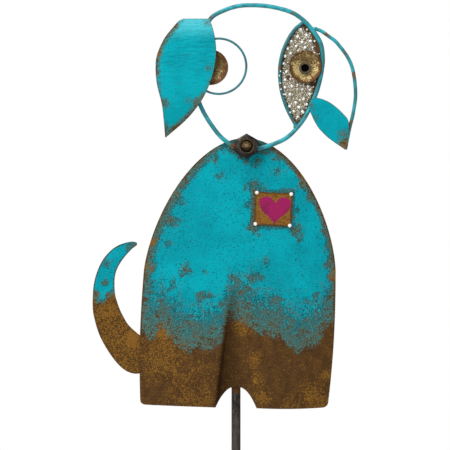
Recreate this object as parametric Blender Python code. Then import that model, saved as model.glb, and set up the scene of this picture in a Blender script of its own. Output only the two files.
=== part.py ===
"""Garden stake in the shape of a dog, put together from sheet steel and bent wire.

Metres, +Z up. The figure faces -Y. The origin is the middle of the stake's lower end,
where the rod is cut off level with the ground.
"""

import math

import bmesh
import bpy
from mathutils import Vector

GAP = 0.0003  # clearance between pieces that are welded or seated on each other
MERGE = 0.000001

# Stake
STAKE_RADIUS = 0.0050
STAKE_SHOWN = 0.260  # bare rod between the ground and the feet
STAKE_BEHIND_BODY = 0.190  # length welded up the back of the body

# Body sheet
BODY_WIDTH = 0.2120
BODY_HEIGHT = 0.2983
BODY_SHEET = 0.0020
DOME_HEIGHT = 0.1498  # from the top of the head end down to where the sheet is widest
DOME_RISE_POWER = 1.55
DOME_ROUND_POWER = 1.9
BODY_TOP_SHIFT = 0.0124  # how far the top leans sideways from the middle of the feet
BODY_FOOT_MIDDLE = -0.0022
HIP_SWELL = 0.0017
FOOT_TAPER = 0.0027
FOOT_CORNER = 0.0055
LEFT_SOLE_RISE = 0.0034
RIGHT_SOLE_SAG = 0.0022
RIGHT_SOLE_LOWEST = 0.55  # share of the half width, from the middle outwards
EDGE_TURN = 0.0045  # how far the rim of the sheet is turned back
EDGE_TURN_POWER = 3.0
NOTCH_HEIGHT = 0.0245
NOTCH_HALF_WIDTH = 0.0225
NOTCH_POWER = 0.45
GROOVE_HEIGHT = 0.1330
GROOVE_HALF_WIDTH = 0.0235
GROOVE_POWER = 0.6
LEG_RISE = 0.0058
LEG_RAMP = 0.95  # share of the groove's height over which a leg comes forward
LEFT_WALL_WIDTH = 0.0040
RIGHT_WALL_WIDTH = 0.0095
CREST_SHARES = (0.12, 0.9)  # least and most of a leg's width at which its wall ends
VALLEY_SHARE = 0.45  # least share of the crest at which the groove's floor ends
DOME_ROW_POWER = 1.7  # sets the rows closer together near the top
CORNER_ROWS = (0.35, 0.1, 0.0)  # shares of the foot corner's radius

# Nose: a hex nut with a round bolt end in it
NUT_ACROSS_FLATS = 0.0240
NUT_HEIGHT = 0.0130
NUT_HOLE_RADIUS = 0.0068
NUT_CHAMFER = 0.0016
NUT_CHAMFER_REACH = 1.1  # how far in the chamfer runs, in corner overhangs
NUT_DROP = 0.0094  # from the top of the body down to the nut's middle
NUT_SIDE_SHIFT = 0.0017
BOLT_CLEARANCE = 0.0009
BOLT_PROUD = 0.0004
BOLT_CROWN = 0.0040

# Head loop and the pieces laid out on it
HEAD_WIDTH = 0.1413  # over the wire's centreline
HEAD_HEIGHT = 0.1575
HEAD_SIDE_SHIFT = 0.0133  # from the nose to the middle of the loop
NOSE_TO_LOOP_FOOT = 0.0022
LEFT_END_RISE = 0.0016
RING_RADIUS = 0.0024
FRAME_WIRE_RADIUS = 0.0018
EAR_WIRE_RADIUS = 0.0020
EYE_WIRE_RADIUS = 0.00125
HEAD_SHEET = 0.0012
EYE_RING_RADIUS = 0.0304
LEFT_CUP_RADIUS = 0.0195
RIGHT_CUP_RADIUS = 0.0179
CUP_DEPTH = 0.0052
CUP_BASE_RADIUS = 0.0050
PUPIL_OUTER_RADIUS = 0.0067
PUPIL_WALL = 0.0024
PUPIL_HEIGHT = 0.0042
PUPIL_SIDE_SHIFT = -0.0002
PUPIL_DROP = 0.0014
EAR_BULGE = 0.0052  # how far the drooping ear stands in front of its welded top edge
EAR_BEND_SHARE = 0.16  # share of the ear's height over which it bends forward
EAR_BEND_POWER = 0.6
EAR_TIP_SHARE = 0.32  # share over which its tip comes back again
EAR_TIP_EASE = 0.75
BEAD_RADIUS = 0.0017
BEAD_SINK = 0.0004
# each bead: share of the way down the eye, share across it, share of the bead radius
BEAD_SPOTS = (
    (0.102, 0.307, 1.0), (0.160, 0.610, 1.0), (0.182, 0.277, 1.0), (0.217, 0.717, 1.0),
    (0.230, 0.124, 1.0), (0.233, 0.454, 1.0), (0.215, 0.847, 0.7), (0.273, 0.307, 1.0),
    (0.282, 0.554, 1.0), (0.300, 0.100, 1.0), (0.275, 0.757, 0.7), (0.340, 0.207, 1.0),
    (0.367, 0.088, 1.0), (0.323, 0.804, 0.7), (0.312, 0.383, 0.7), (0.432, 0.084, 1.0),
    (0.500, 0.169, 1.0), (0.570, 0.136, 1.0), (0.560, 0.268, 0.7), (0.620, 0.309, 1.0),
    (0.635, 0.116, 1.0), (0.605, 0.452, 0.7), (0.642, 0.597, 1.0), (0.613, 0.735, 1.0),
    (0.682, 0.836, 1.0), (0.695, 0.244, 1.0), (0.700, 0.097, 0.7), (0.728, 0.684, 1.0),
    (0.642, 0.812, 0.7), (0.740, 0.564, 0.7), (0.765, 0.420, 1.0), (0.775, 0.838, 1.0),
    (0.805, 0.158, 1.0), (0.807, 0.553, 1.0), (0.850, 0.311, 1.0), (0.850, 0.781, 1.0),
    (0.900, 0.512, 1.0), (0.100, 0.688, 0.7))
BEAD_PROFILE = ((1.0, 0.0), (0.88, 0.65), (0.5, 1.1))  # radius and height, in bead radii

# Tail
TAIL_HEIGHT = 0.1455
TAIL_SHEET = 0.0014
TAIL_ROOT_HEIGHT = 0.0605  # above the feet
TAIL_SIDE_SHIFT = -0.0001  # from the body's edge

# Patch with a painted heart
PATCH_WIDTH = 0.0440  # over the flared corners
PATCH_HEIGHT = 0.0406
PATCH_SHEET = 0.0008
PATCH_DROP = 0.0784  # from the top of the body down to the patch's middle
PATCH_SIDE_SHIFT = 0.0341  # from the body's middle line
PATCH_SIDE_DIP = 0.0017  # how far an edge lies inside the line between its corners
PATCH_END_DIP = 0.0022
PATCH_DIP_POWER = 4
PATCH_TURN = math.radians(-2.7)
STUD_RADIUS = 0.0021
STUD_HEIGHT = 0.0019
STUD_INSET = 0.0030

# Facets
STAKE_SIDES = 16
DOME_ROWS, WAIST_ROWS, LEG_ROWS = 13, 14, 6
LEG_COLUMNS, WALL_COLUMNS, FLOOR_COLUMNS = 6, 2, 2
RING_PITCH = 0.0080
FRAME_PITCH = 0.0065
EAR_WIRE_PITCH = 0.0075
WIRE_BEVEL = 2
EYE_RING_TURNS, EYE_RING_SIDES = 36, 6
BARREL_SIDES, BORE_SIDES, BOLT_SIDES, CROWN_STEPS = 36, 24, 18, 4
CUP_SIDES, CUP_STEPS, PUPIL_SIDES = 28, 5, 18
EAR_ROWS, EAR_COLUMNS = 22, 7
LEAF_ROWS, LEAF_COLUMNS = 14, 4
TAIL_ROWS, TAIL_COLUMNS = 26, 5
PANEL_ROWS, PANEL_COLUMNS, BEAD_SIDES = 20, 3, 7
PATCH_ROWS, PATCH_COLUMNS = 10, 8
STUD_SIDES, STUD_STEPS = 10, 3

# Places on the head, as shares of its half width from the middle and of its height
RING_BENDS = [
    (-0.634, 0.103), (-0.877, 0.271), (-0.987, 0.425), (-1.0, 0.54), (-0.975, 0.638),
    (-0.918, 0.735), (-0.833, 0.837), (-0.740, 0.910), (-0.592, 0.953), (-0.359, 0.990),
    (-0.125, 1.0), (0.186, 0.990), (0.497, 0.953), (0.692, 0.897), (0.855, 0.817),
    (0.970, 0.728), (1.0, 0.625), (0.982, 0.540), (0.939, 0.449), (0.877, 0.365),
    (0.735, 0.228), (0.595, 0.142), (0.441, 0.076), (0.256, 0.034),
]
FRAME_BENDS = [
    (0.716, 0.889), (0.640, 0.862), (0.567, 0.834), (0.468, 0.770), (0.373, 0.672),
    (0.326, 0.550), (0.350, 0.410), (0.437, 0.281), (0.583, 0.155),
]
EAR_WIRE_BENDS = [
    (0.832, 0.842), (0.972, 0.820), (1.090, 0.783), (1.237, 0.728), (1.439, 0.589),
    (1.509, 0.400), (1.475, 0.253), (1.417, 0.142), (1.350, -0.008),
]
LEAF_UPPER = [(0.805, 0.339), (0.925, 0.351), (1.112, 0.318), (1.299, 0.248), (1.405, 0.170),
              (1.352, -0.010)]
LEAF_LOWER = [(0.795, 0.316), (0.798, 0.260), (0.891, 0.170), (0.986, 0.114), (1.125, 0.058),
              (1.330, -0.005)]
EAR_OUTER = [(-1.168, 0.904), (-1.238, 0.889), (-1.308, 0.855), (-1.475, 0.756),
             (-1.581, 0.645), (-1.601, 0.561), (-1.582, 0.449), (-1.506, 0.309),
             (-1.476, 0.198), (-1.454, 0.074)]
EAR_INNER = [(-0.791, 0.904), (-0.735, 0.868), (-0.673, 0.756), (-0.662, 0.645),
             (-0.701, 0.533), (-0.784, 0.421), (-0.919, 0.309), (-1.125, 0.198),
             (-1.437, 0.077)]
EYE_RING_PLACE = (-0.622, 0.572)
LEFT_CUP_PLACE = (-0.749, 0.564)
RIGHT_CUP_PLACE = (0.727, 0.569)

# Places on the tail, as shares of its height from its root at the body's edge
TAIL_OUTER = [(-0.021, 0.842), (-0.060, 0.849), (-0.138, 0.831), (-0.214, 0.786),
              (-0.289, 0.695), (-0.341, 0.559), (-0.356, 0.423), (-0.348, 0.287),
              (-0.289, 0.106), (-0.168, -0.076), (-0.053, -0.151), (0.091, -0.136)]
TAIL_INNER = [(-0.019, 0.823), (-0.066, 0.786), (-0.142, 0.695), (-0.185, 0.597),
              (-0.188, 0.469), (-0.166, 0.378), (-0.127, 0.287), (-0.066, 0.197),
              (0.091, 0.068)]

# Levels along Y that follow from the sizes above; the front is -Y
FEET_Z = STAKE_SHOWN
BODY_TOP_Z = FEET_Z + BODY_HEIGHT
BODY_BACK_Y = -(STAKE_RADIUS + GAP)
BODY_FRONT_Y = BODY_BACK_Y - BODY_SHEET
RING_Y = BODY_FRONT_Y - GAP - RING_RADIUS
RING_FRONT_Y = RING_Y - RING_RADIUS
PANEL_FRONT_Y = RING_Y + RING_RADIUS + GAP
EYE_RING_Y = RING_FRONT_Y - GAP - EYE_WIRE_RADIUS
LEAF_BACK_Y = RING_FRONT_Y - GAP
TAIL_FRONT_Y = BODY_BACK_Y + EDGE_TURN + GAP


def body_middle(z):
    return BODY_FOOT_MIDDLE + BODY_TOP_SHIFT * (z - FEET_Z) / BODY_HEIGHT


NUT_Z = BODY_TOP_Z - NUT_DROP
NUT_X = body_middle(NUT_Z) + NUT_SIDE_SHIFT
HEAD_X = NUT_X + HEAD_SIDE_SHIFT
HEAD_FOOT_Z = NUT_Z - NOSE_TO_LOOP_FOOT


def clear_scene():
    for thing in list(bpy.data.objects):
        bpy.data.objects.remove(thing, do_unlink=True)


def metal(name, colour, roughness, metallic):
    made = bpy.data.materials.new(name)
    made.use_nodes = True
    shader = made.node_tree.nodes["Principled BSDF"]
    shader.inputs["Base Color"].default_value = (*colour, 1.0)
    shader.inputs["Roughness"].default_value = roughness
    shader.inputs["Metallic"].default_value = metallic
    return made


def keep(name, mesh_or_curve, material):
    piece = bpy.data.objects.new(name, mesh_or_curve)
    bpy.context.scene.collection.objects.link(piece)
    mesh_or_curve.materials.append(material)
    return piece


def finish_mesh(name, bm, material):
    bmesh.ops.remove_doubles(bm, verts=bm.verts, dist=MERGE)
    bmesh.ops.recalc_face_normals(bm, faces=bm.faces)
    mesh = bpy.data.meshes.new(name)
    bm.to_mesh(mesh)
    bm.free()
    mesh.shade_smooth()
    mesh.set_sharp_from_angle(angle=math.radians(40))
    return keep(name, mesh, material)


def on_head(share):
    return Vector((HEAD_X + share[0] * HEAD_WIDTH / 2, HEAD_FOOT_Z + share[1] * HEAD_HEIGHT))


def smooth_path(points, steps=24):
    """Points of a Catmull-Rom curve through the given ones."""
    ends = [points[0] * 2 - points[1], *points, points[-1] * 2 - points[-2]]
    path = []
    for i in range(1, len(ends) - 2):
        a, b, c, d = ends[i - 1:i + 3]
        for k in range(steps):
            t = k / steps
            path.append(0.5 * (2 * b + (c - a) * t + (2 * a - 5 * b + 4 * c - d) * t * t
                               + (3 * b - a - 3 * c + d) * t ** 3))
    return [*path, points[-1].copy()]


def lengths_along(path):
    run = [0.0]
    for a, b in zip(path, path[1:]):
        run.append(run[-1] + (b - a).length)
    return run


def spread(path, count):
    """The path as count + 1 points at even distances."""
    run = lengths_along(path)
    out = []
    at = 0
    for k in range(count + 1):
        want = run[-1] * k / count
        while at < len(run) - 2 and run[at + 1] < want:
            at += 1
        step = max(run[at + 1] - run[at], MERGE)
        out.append(path[at].lerp(path[at + 1], min(1.0, (want - run[at]) / step)))
    return out


def rim_of_end(path, radius, sides=STAKE_SIDES):
    """The circle of a tube's first cut face."""
    along = (path[0] - path[1]).normalized()
    across = Vector((along.z, 0.0, -along.x)).normalized()
    other = along.cross(across)
    return [path[0] + radius * (math.cos(a) * across + math.sin(a) * other)
            for a in (2 * math.pi * k / sides for k in range(sides))]


def butt_against(path, radius, target, target_radius):
    """Cut the start of a wire back until its end face just clears another wire."""
    reach = target_radius + GAP
    while len(path) > 2:
        near = [q for q in target if (q - path[0]).length < 2 * (radius + reach)]
        if all((p - q).length >= reach for q in near for p in rim_of_end(path, radius)):
            break
        path = path[1:]
    return path


def lift(path, y_start, y_end=None):
    """Flat (x, z) points put in 3-D, at one depth or passing evenly from one to another."""
    y_end = y_start if y_end is None else y_end
    last = len(path) - 1
    return [Vector((p.x, y_start + (y_end - y_start) * k / last, p.y))
            for k, p in enumerate(path)]


def wire(name, path, radius, spacing, material):
    run = lengths_along(path)
    points = spread(path, max(3, round(run[-1] / spacing)))
    first = next(p for p, at in zip(path, run) if at >= radius)
    last = next(p for p, at in zip(path[::-1], run[::-1]) if run[-1] - at >= radius)
    points = [points[0], first, *points[1:-1], last, points[-1]]  # ends cut square
    curve = bpy.data.curves.new(name, "CURVE")
    curve.dimensions = "3D"
    curve.bevel_depth = radius
    curve.bevel_resolution = WIRE_BEVEL
    curve.use_fill_caps = True
    spline = curve.splines.new("POLY")
    spline.points.add(len(points) - 1)
    for point, place in zip(spline.points, points):
        point.co = (*place, 1.0)
    return keep(name, curve, material)


def sheet_between(name, edge_a, edge_b, across, front, thickness, material):
    """A bent sheet between two edges, with its front face at the depth front(x, z)."""
    rows = [[a.lerp(b, k / across) for k in range(across + 1)] for a, b in zip(edge_a, edge_b)]
    return sheet_of_rows(name, rows, front, thickness, material)


def sheet_of_rows(name, places, front, thickness, material):
    bm = bmesh.new()
    rows = [[bm.verts.new((p.x, front(p.x, p.y), p.y)) for p in row] for row in places]
    for upper, lower in zip(rows, rows[1:]):
        for k in range(len(upper) - 1):
            bm.faces.new((upper[k], lower[k], lower[k + 1], upper[k + 1]))
    bmesh.ops.remove_doubles(bm, verts=bm.verts, dist=MERGE)
    face_forward(bm)
    mesh = bpy.data.meshes.new(name)
    bm.to_mesh(mesh)
    bm.free()
    piece = keep(name, mesh, material)
    thicken(piece, thickness)
    return piece


def face_forward(bm):
    bmesh.ops.recalc_face_normals(bm, faces=bm.faces)
    bm.normal_update()
    if sum(face.normal.y * face.calc_area() for face in bm.faces) > 0:
        bmesh.ops.reverse_faces(bm, faces=bm.faces)


def thicken(piece, thickness):
    wall = piece.modifiers.new("sheet", "SOLIDIFY")
    wall.thickness = thickness
    wall.offset = -1.0
    wall.use_even_offset = True


def turned(name, profile, x, z, sides, material):
    """A round piece about an axis along Y, from (radius, y) points, closed on the axis."""
    bm = bmesh.new()
    loops = []
    for radius, y in profile:
        if radius == 0.0:
            loops.append([bm.verts.new((x, y, z))])
        else:
            loops.append([bm.verts.new((x + radius * math.cos(a), y, z + radius * math.sin(a)))
                          for a in (2 * math.pi * k / sides for k in range(sides))])
    closed = profile[0][0] > 0.0 and profile[-1][0] > 0.0
    pairs = list(zip(loops, loops[1:])) + ([(loops[-1], loops[0])] if closed else [])
    for inner, outer in pairs:
        for k in range(sides):
            n = (k + 1) % sides
            corners = [inner[k % len(inner)], inner[n % len(inner)],
                       outer[n % len(outer)], outer[k % len(outer)]]
            bm.faces.new(list(dict.fromkeys(corners)))
    return finish_mesh(name, bm, material)


def smooth_step(t):
    t = min(1.0, max(0.0, t))
    return t * t * (3 - 2 * t)


def body_half_width(z):
    half = BODY_WIDTH / 2
    down = BODY_TOP_Z - z
    if down <= DOME_HEIGHT:
        left = max(0.0, 1 - down / DOME_HEIGHT)
        return half * (1 - left ** DOME_RISE_POWER) ** (1 / DOME_ROUND_POWER)
    low = (down - DOME_HEIGHT) / (BODY_HEIGHT - DOME_HEIGHT)
    half += HIP_SWELL * math.sin(math.pi * low) - FOOT_TAPER * low * low
    corner = FOOT_CORNER - (z - FEET_Z)
    if corner > 0:
        half -= FOOT_CORNER - math.sqrt(max(0.0, FOOT_CORNER ** 2 - corner ** 2))
    return half


def notch_half_width(z):
    down = (FEET_Z + NOTCH_HEIGHT - z) / NOTCH_HEIGHT
    return NOTCH_HALF_WIDTH * max(0.0, down) ** NOTCH_POWER


def groove_half_width(z):
    down = (FEET_Z + GROOVE_HEIGHT - z) / GROOVE_HEIGHT
    return GROOVE_HALF_WIDTH * max(0.0, down) ** GROOVE_POWER


def body_front(x, z):
    """Depth of the body's front face: rim turned back, legs pressed forward."""
    middle = body_middle(z)
    side = abs(x - middle) / (BODY_WIDTH / 2)
    depth = BODY_FRONT_Y + EDGE_TURN * min(side, 1.0) ** EDGE_TURN_POWER
    down = (FEET_Z + GROOVE_HEIGHT - z) / GROOVE_HEIGHT
    if down > 0:
        wall = LEFT_WALL_WIDTH if x < 0 else RIGHT_WALL_WIDTH
        foot_of_wall = max(0.0, groove_half_width(z) - wall)
        rise = LEG_RISE * smooth_step(down / LEG_RAMP)
        depth -= rise * smooth_step((abs(x) - foot_of_wall) / wall) * (1 - min(side, 1.0) ** 2)
    return depth


def sole_rise(x):
    """How far the sole lies above the lowest level, at a place along the feet."""
    share = abs(x) / (BODY_WIDTH / 2)
    if x < 0:
        return LEFT_SOLE_RISE * min(1.0, share) + RIGHT_SOLE_SAG / 2
    return RIGHT_SOLE_SAG * min(1.0, 4 * (share - RIGHT_SOLE_LOWEST) ** 2)


def body_row(z, side):
    """Places across one side of the body at a height, from the outer edge to the middle."""
    notch_z = FEET_Z + NOTCH_HEIGHT
    edge = body_middle(z) + side * body_half_width(z)
    notch = notch_half_width(z)
    seam = side * notch
    if z >= notch_z:
        seam = body_middle(z) * (z - notch_z) / (BODY_TOP_Z - notch_z)
    span = abs(edge - seam)
    wall = LEFT_WALL_WIDTH if side < 0 else RIGHT_WALL_WIDTH
    least, most = CREST_SHARES
    crest = min(max(groove_half_width(z) - notch, least * span), most * span)
    valley = max(VALLEY_SHARE * crest, crest - wall)
    row = [edge - side * (span - crest) * k / LEG_COLUMNS for k in range(LEG_COLUMNS)]
    row += [seam + side * (crest + (valley - crest) * k / WALL_COLUMNS)
            for k in range(WALL_COLUMNS)]
    row += [seam + side * valley * (1 - k / FLOOR_COLUMNS) for k in range(FLOOR_COLUMNS + 1)]
    return row


def make_body(material):
    notch_z = FEET_Z + NOTCH_HEIGHT
    widest_z = BODY_TOP_Z - DOME_HEIGHT
    levels = [BODY_TOP_Z - DOME_HEIGHT * (k / DOME_ROWS) ** DOME_ROW_POWER
              for k in range(DOME_ROWS)]
    levels += [widest_z + (notch_z - widest_z) * k / WAIST_ROWS for k in range(WAIST_ROWS)]
    levels += [notch_z - NOTCH_HEIGHT * k / LEG_ROWS for k in range(LEG_ROWS)]
    levels += [FEET_Z + FOOT_CORNER * share for share in CORNER_ROWS]
    bm = bmesh.new()
    for side in (-1, 1):
        rows = []
        for z in levels:
            low = max(0.0, (notch_z - z) / NOTCH_HEIGHT)
            rows.append([bm.verts.new((x, body_front(x, z), z + low * sole_rise(x)))
                         for x in body_row(z, side)])
        for upper, lower in zip(rows, rows[1:]):
            for k in range(len(upper) - 1):
                bm.faces.new((upper[k], lower[k], lower[k + 1], upper[k + 1]))
    bmesh.ops.remove_doubles(bm, verts=bm.verts, dist=MERGE)
    face_forward(bm)
    mesh = bpy.data.meshes.new("body_plate")
    bm.to_mesh(mesh)
    bm.free()
    thicken(keep("body_plate", mesh, material), BODY_SHEET)


def make_stake(material):
    length = FEET_Z + STAKE_BEHIND_BODY
    bm = bmesh.new()
    bmesh.ops.create_cone(bm, cap_ends=True, segments=STAKE_SIDES, radius1=STAKE_RADIUS,
                          radius2=STAKE_RADIUS, depth=length)
    bmesh.ops.translate(bm, verts=bm.verts, vec=(0.0, 0.0, length / 2))
    finish_mesh("stake_rod", bm, material)


def ring_path():
    """The head loop's centreline, from the nut's left flat round to its right flat."""
    flat = NUT_ACROSS_FLATS / 2 + GAP
    lead = Vector((RING_RADIUS, 0.0))
    start = Vector((NUT_X - flat, HEAD_FOOT_Z + LEFT_END_RISE))
    end = Vector((NUT_X + flat, HEAD_FOOT_Z))
    bends = [on_head(share) for share in RING_BENDS]
    return [start, *smooth_path([start - lead, *bends, end + lead]), end]


def make_nose(nut_material, bolt_material):
    back = BODY_FRONT_Y - GAP
    face = back - NUT_HEIGHT
    corner = NUT_ACROSS_FLATS / math.sqrt(3)
    bm = bmesh.new()
    bmesh.ops.create_cone(bm, cap_ends=True, segments=6, radius1=corner, radius2=corner,
                          depth=NUT_HEIGHT)
    for vert in bm.verts:
        x, y, z = vert.co
        vert.co = (NUT_X + x, (back + face) / 2 + z, NUT_Z + y)
    nut = finish_mesh("nose_nut", bm, nut_material)
    over = corner + NUT_CHAMFER
    slope = (corner - NUT_ACROSS_FLATS / 2) * NUT_CHAMFER_REACH
    barrel = turned("nut_barrel", [(0.0, back + NUT_CHAMFER), (over, back + NUT_CHAMFER),
                                   (over, face + NUT_CHAMFER),
                                   (NUT_ACROSS_FLATS / 2 - slope, face - GAP / 3),
                                   (0.0, face - GAP / 3)],
                    NUT_X, NUT_Z, BARREL_SIDES, nut_material)
    hole = turned("nut_bore", [(0.0, back + NUT_HEIGHT), (NUT_HOLE_RADIUS, back + NUT_HEIGHT),
                               (NUT_HOLE_RADIUS, face - NUT_HEIGHT), (0.0, face - NUT_HEIGHT)],
                  NUT_X, NUT_Z, BORE_SIDES, nut_material)
    for cutter, operation in ((barrel, "INTERSECT"), (hole, "DIFFERENCE")):
        cutter.hide_render = True
        cutter.display_type = "WIRE"
        cut = nut.modifiers.new(cutter.name, "BOOLEAN")
        cut.operation = operation
        cut.object = cutter
        cut.solver = "EXACT"
    radius = NUT_HOLE_RADIUS - BOLT_CLEARANCE
    crown = [(radius * math.cos(a), face - BOLT_PROUD + BOLT_CROWN * (1 - math.sin(a)))
             for a in (math.pi / 2 * k / CROWN_STEPS for k in range(CROWN_STEPS))]
    turned("nose_bolt", [(0.0, back), (radius, back), *crown, (0.0, face - BOLT_PROUD)],
           NUT_X, NUT_Z, BOLT_SIDES, bolt_material)


def cup_back(radius, cup_radius, seat):
    """Depth of an eye cup's underside at a distance from its middle."""
    return seat - CUP_DEPTH * max(0.0, radius - CUP_BASE_RADIUS) ** 2 / (
        cup_radius - CUP_BASE_RADIUS) ** 2


def cup_seat(centre, cup_radius, ring, limit):
    """The furthest back that a cup can sit without its underside meeting the head loop."""
    distance = min((p - centre).length for p in ring)
    reach = RING_RADIUS + GAP
    seat = limit
    tries = 120
    for k in range(tries + 1):
        radius = distance - reach + 2 * reach * k / tries
        if 0.0 < radius <= cup_radius:
            front = RING_Y - math.sqrt(max(0.0, reach ** 2 - (radius - distance) ** 2))
            seat = min(seat, front - cup_back(radius, cup_radius, 0.0))
    return seat


def make_eye_cup(side, place, cup_radius, ring, limit, cup_material, pupil_material):
    centre = on_head(place)
    seat = cup_seat(centre, cup_radius, ring, limit)
    radii = [cup_radius * k / CUP_STEPS for k in range(1, CUP_STEPS + 1)]
    back = [(r, cup_back(r, cup_radius, seat)) for r in radii]
    front = [(r, y - HEAD_SHEET) for r, y in reversed(back)]
    turned("eye_cup_" + side, [(0.0, seat), *back, *front, (0.0, seat - HEAD_SHEET)],
           centre.x, centre.y, CUP_SIDES, cup_material)
    shift = Vector((PUPIL_SIDE_SHIFT, -PUPIL_DROP))
    far = PUPIL_OUTER_RADIUS + shift.length
    base = cup_back(far, cup_radius, seat) - HEAD_SHEET - GAP
    top = base - PUPIL_HEIGHT
    inner = PUPIL_OUTER_RADIUS - PUPIL_WALL
    turned("eye_pupil_" + side, [(inner, base), (PUPIL_OUTER_RADIUS, base),
                                 (PUPIL_OUTER_RADIUS, top), (inner, top)],
           centre.x + shift.x, centre.y + shift.y, PUPIL_SIDES, pupil_material)


def between_edges(left, right, down, across):
    """The place a share of the way down two matching edges and a share across from the first."""
    at = down * (len(left) - 1)
    k = min(int(at), len(left) - 2)
    return left[k].lerp(left[k + 1], at - k).lerp(right[k].lerp(right[k + 1], at - k), across)


def make_eye_panel(ring, frame, panel_material):
    top = min(range(len(ring)), key=lambda k: (ring[k] - frame[0]).length)
    bottom = min(range(len(ring)), key=lambda k: (ring[k] - frame[-1]).length)
    left = spread(frame, PANEL_ROWS)
    right = spread(ring[top:bottom + 1], PANEL_ROWS)
    panel = sheet_between("eye_panel_right", left, right, PANEL_COLUMNS,
                          lambda x, z: PANEL_FRONT_Y, HEAD_SHEET, panel_material)
    bm = bmesh.new()
    for down, across, share in BEAD_SPOTS:
        p = between_edges(left, right, down, across)
        size = share * BEAD_RADIUS
        foot = PANEL_FRONT_Y + BEAD_SINK
        loops = []
        for radius, height in BEAD_PROFILE:
            loops.append([bm.verts.new((p.x + radius * size * math.cos(a), foot - height * size,
                                        p.y + radius * size * math.sin(a)))
                          for a in (2 * math.pi * k / BEAD_SIDES for k in range(BEAD_SIDES))])
        bm.faces.new(loops[0])
        bm.faces.new(loops[-1])
        for one, two in zip(loops, loops[1:]):
            for k in range(BEAD_SIDES):
                n = (k + 1) % BEAD_SIDES
                bm.faces.new((one[k], one[n], two[n], two[k]))
    beads = finish_mesh("bead_domes", bm, panel_material)
    beads.hide_render = True
    beads.display_type = "WIRE"
    join = panel.modifiers.new("beads", "BOOLEAN")
    join.operation = "UNION"
    join.object = beads
    join.solver = "EXACT"


def make_ear(material):
    outer = spread(smooth_path([on_head(share) for share in EAR_OUTER]), EAR_ROWS)
    inner = spread(smooth_path([on_head(share) for share in EAR_INNER]), EAR_ROWS)
    top_z = on_head(EAR_OUTER[0]).y
    tip_z = on_head(EAR_OUTER[-1]).y
    back = RING_FRONT_Y - GAP
    forward = max(EAR_BULGE, 2 * EYE_WIRE_RADIUS + 3 * GAP)

    def front(x, z):
        down = (top_z - z) / (top_z - tip_z)
        rise = smooth_step(down / EAR_BEND_SHARE) ** EAR_BEND_POWER
        ease = 1 - EAR_TIP_EASE * smooth_step(1 - (1 - down) / EAR_TIP_SHARE)
        return back - HEAD_SHEET - forward * rise * ease

    sheet_between("ear_left", outer, inner, EAR_COLUMNS, front, HEAD_SHEET, material)


def make_leaf(material):
    upper = spread(smooth_path([on_head(share) for share in LEAF_UPPER]), LEAF_ROWS)
    lower = spread(smooth_path([on_head(share) for share in LEAF_LOWER]), LEAF_ROWS)
    sheet_between("ear_leaf_right", upper, lower, LEAF_COLUMNS,
                  lambda x, z: LEAF_BACK_Y - HEAD_SHEET, HEAD_SHEET, material)


def make_tail(material):
    root_z = FEET_Z + TAIL_ROOT_HEIGHT
    root = Vector((body_middle(root_z) - body_half_width(root_z) + TAIL_SIDE_SHIFT, root_z))
    outer = [root + TAIL_HEIGHT * Vector(share) for share in TAIL_OUTER]
    inner = [root + TAIL_HEIGHT * Vector(share) for share in TAIL_INNER]
    sheet_between("tail", spread(smooth_path(outer), TAIL_ROWS),
                  spread(smooth_path(inner), TAIL_ROWS), TAIL_COLUMNS,
                  lambda x, z: TAIL_FRONT_Y, TAIL_SHEET, material)


def make_patch(patch_material, stud_material):
    centre_z = BODY_TOP_Z - PATCH_DROP
    centre = Vector((body_middle(centre_z) + PATCH_SIDE_SHIFT, centre_z))
    right = Vector((math.cos(PATCH_TURN), math.sin(PATCH_TURN)))
    up = Vector((-right.y, right.x))

    def place(across, above):
        """A place on the patch, from -1 to 1 both ways; the edges curve in between corners."""
        wide = PATCH_WIDTH / 2 - PATCH_SIDE_DIP * (1 - abs(above) ** PATCH_DIP_POWER)
        high = PATCH_HEIGHT / 2 - PATCH_END_DIP * (1 - abs(across) ** PATCH_DIP_POWER)
        return centre + across * wide * right + above * high * up

    def front(x, z):
        return body_front(x, z) - GAP - PATCH_SHEET

    rows = [[place(2 * n / PATCH_COLUMNS - 1, 1 - 2 * k / PATCH_ROWS)
             for n in range(PATCH_COLUMNS + 1)] for k in range(PATCH_ROWS + 1)]
    sheet_of_rows("heart_patch", rows, front, PATCH_SHEET, patch_material)
    number = 0
    for across in (-1, 1):
        for above in (1, -1):
            number += 1
            spot = place(across, above) - STUD_INSET * (across * right + above * up)
            foot = min(front(spot.x + dx, spot.y + dz) for dx in (-STUD_RADIUS, STUD_RADIUS)
                       for dz in (-STUD_RADIUS, STUD_RADIUS)) - GAP
            dome = [(STUD_RADIUS * math.cos(a), foot - STUD_HEIGHT * math.sin(a))
                    for a in (math.pi / 2 * k / STUD_STEPS for k in range(STUD_STEPS))]
            turned("patch_stud_%d" % number, [(0.0, foot), *dome, (0.0, foot - STUD_HEIGHT)],
                   spot.x, spot.y, STUD_SIDES, stud_material)


def make_eye_ring(centre, material):
    """A closed wire circle round (x, z) = centre, in the eye ring's own plane."""
    bm = bmesh.new()
    loops = []
    for k in range(EYE_RING_TURNS):
        a = 2 * math.pi * k / EYE_RING_TURNS
        loop = []
        for n in range(EYE_RING_SIDES):
            b = 2 * math.pi * n / EYE_RING_SIDES
            reach = EYE_RING_RADIUS + EYE_WIRE_RADIUS * math.cos(b)
            loop.append(bm.verts.new((centre.x + reach * math.cos(a),
                                      EYE_RING_Y + EYE_WIRE_RADIUS * math.sin(b),
                                      centre.y + reach * math.sin(a))))
        loops.append(loop)
    for one, two in zip(loops, loops[1:] + loops[:1]):
        for n in range(EYE_RING_SIDES):
            m = (n + 1) % EYE_RING_SIDES
            bm.faces.new((one[n], one[m], two[m], two[n]))
    finish_mesh("eye_ring_left", bm, material)


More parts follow.
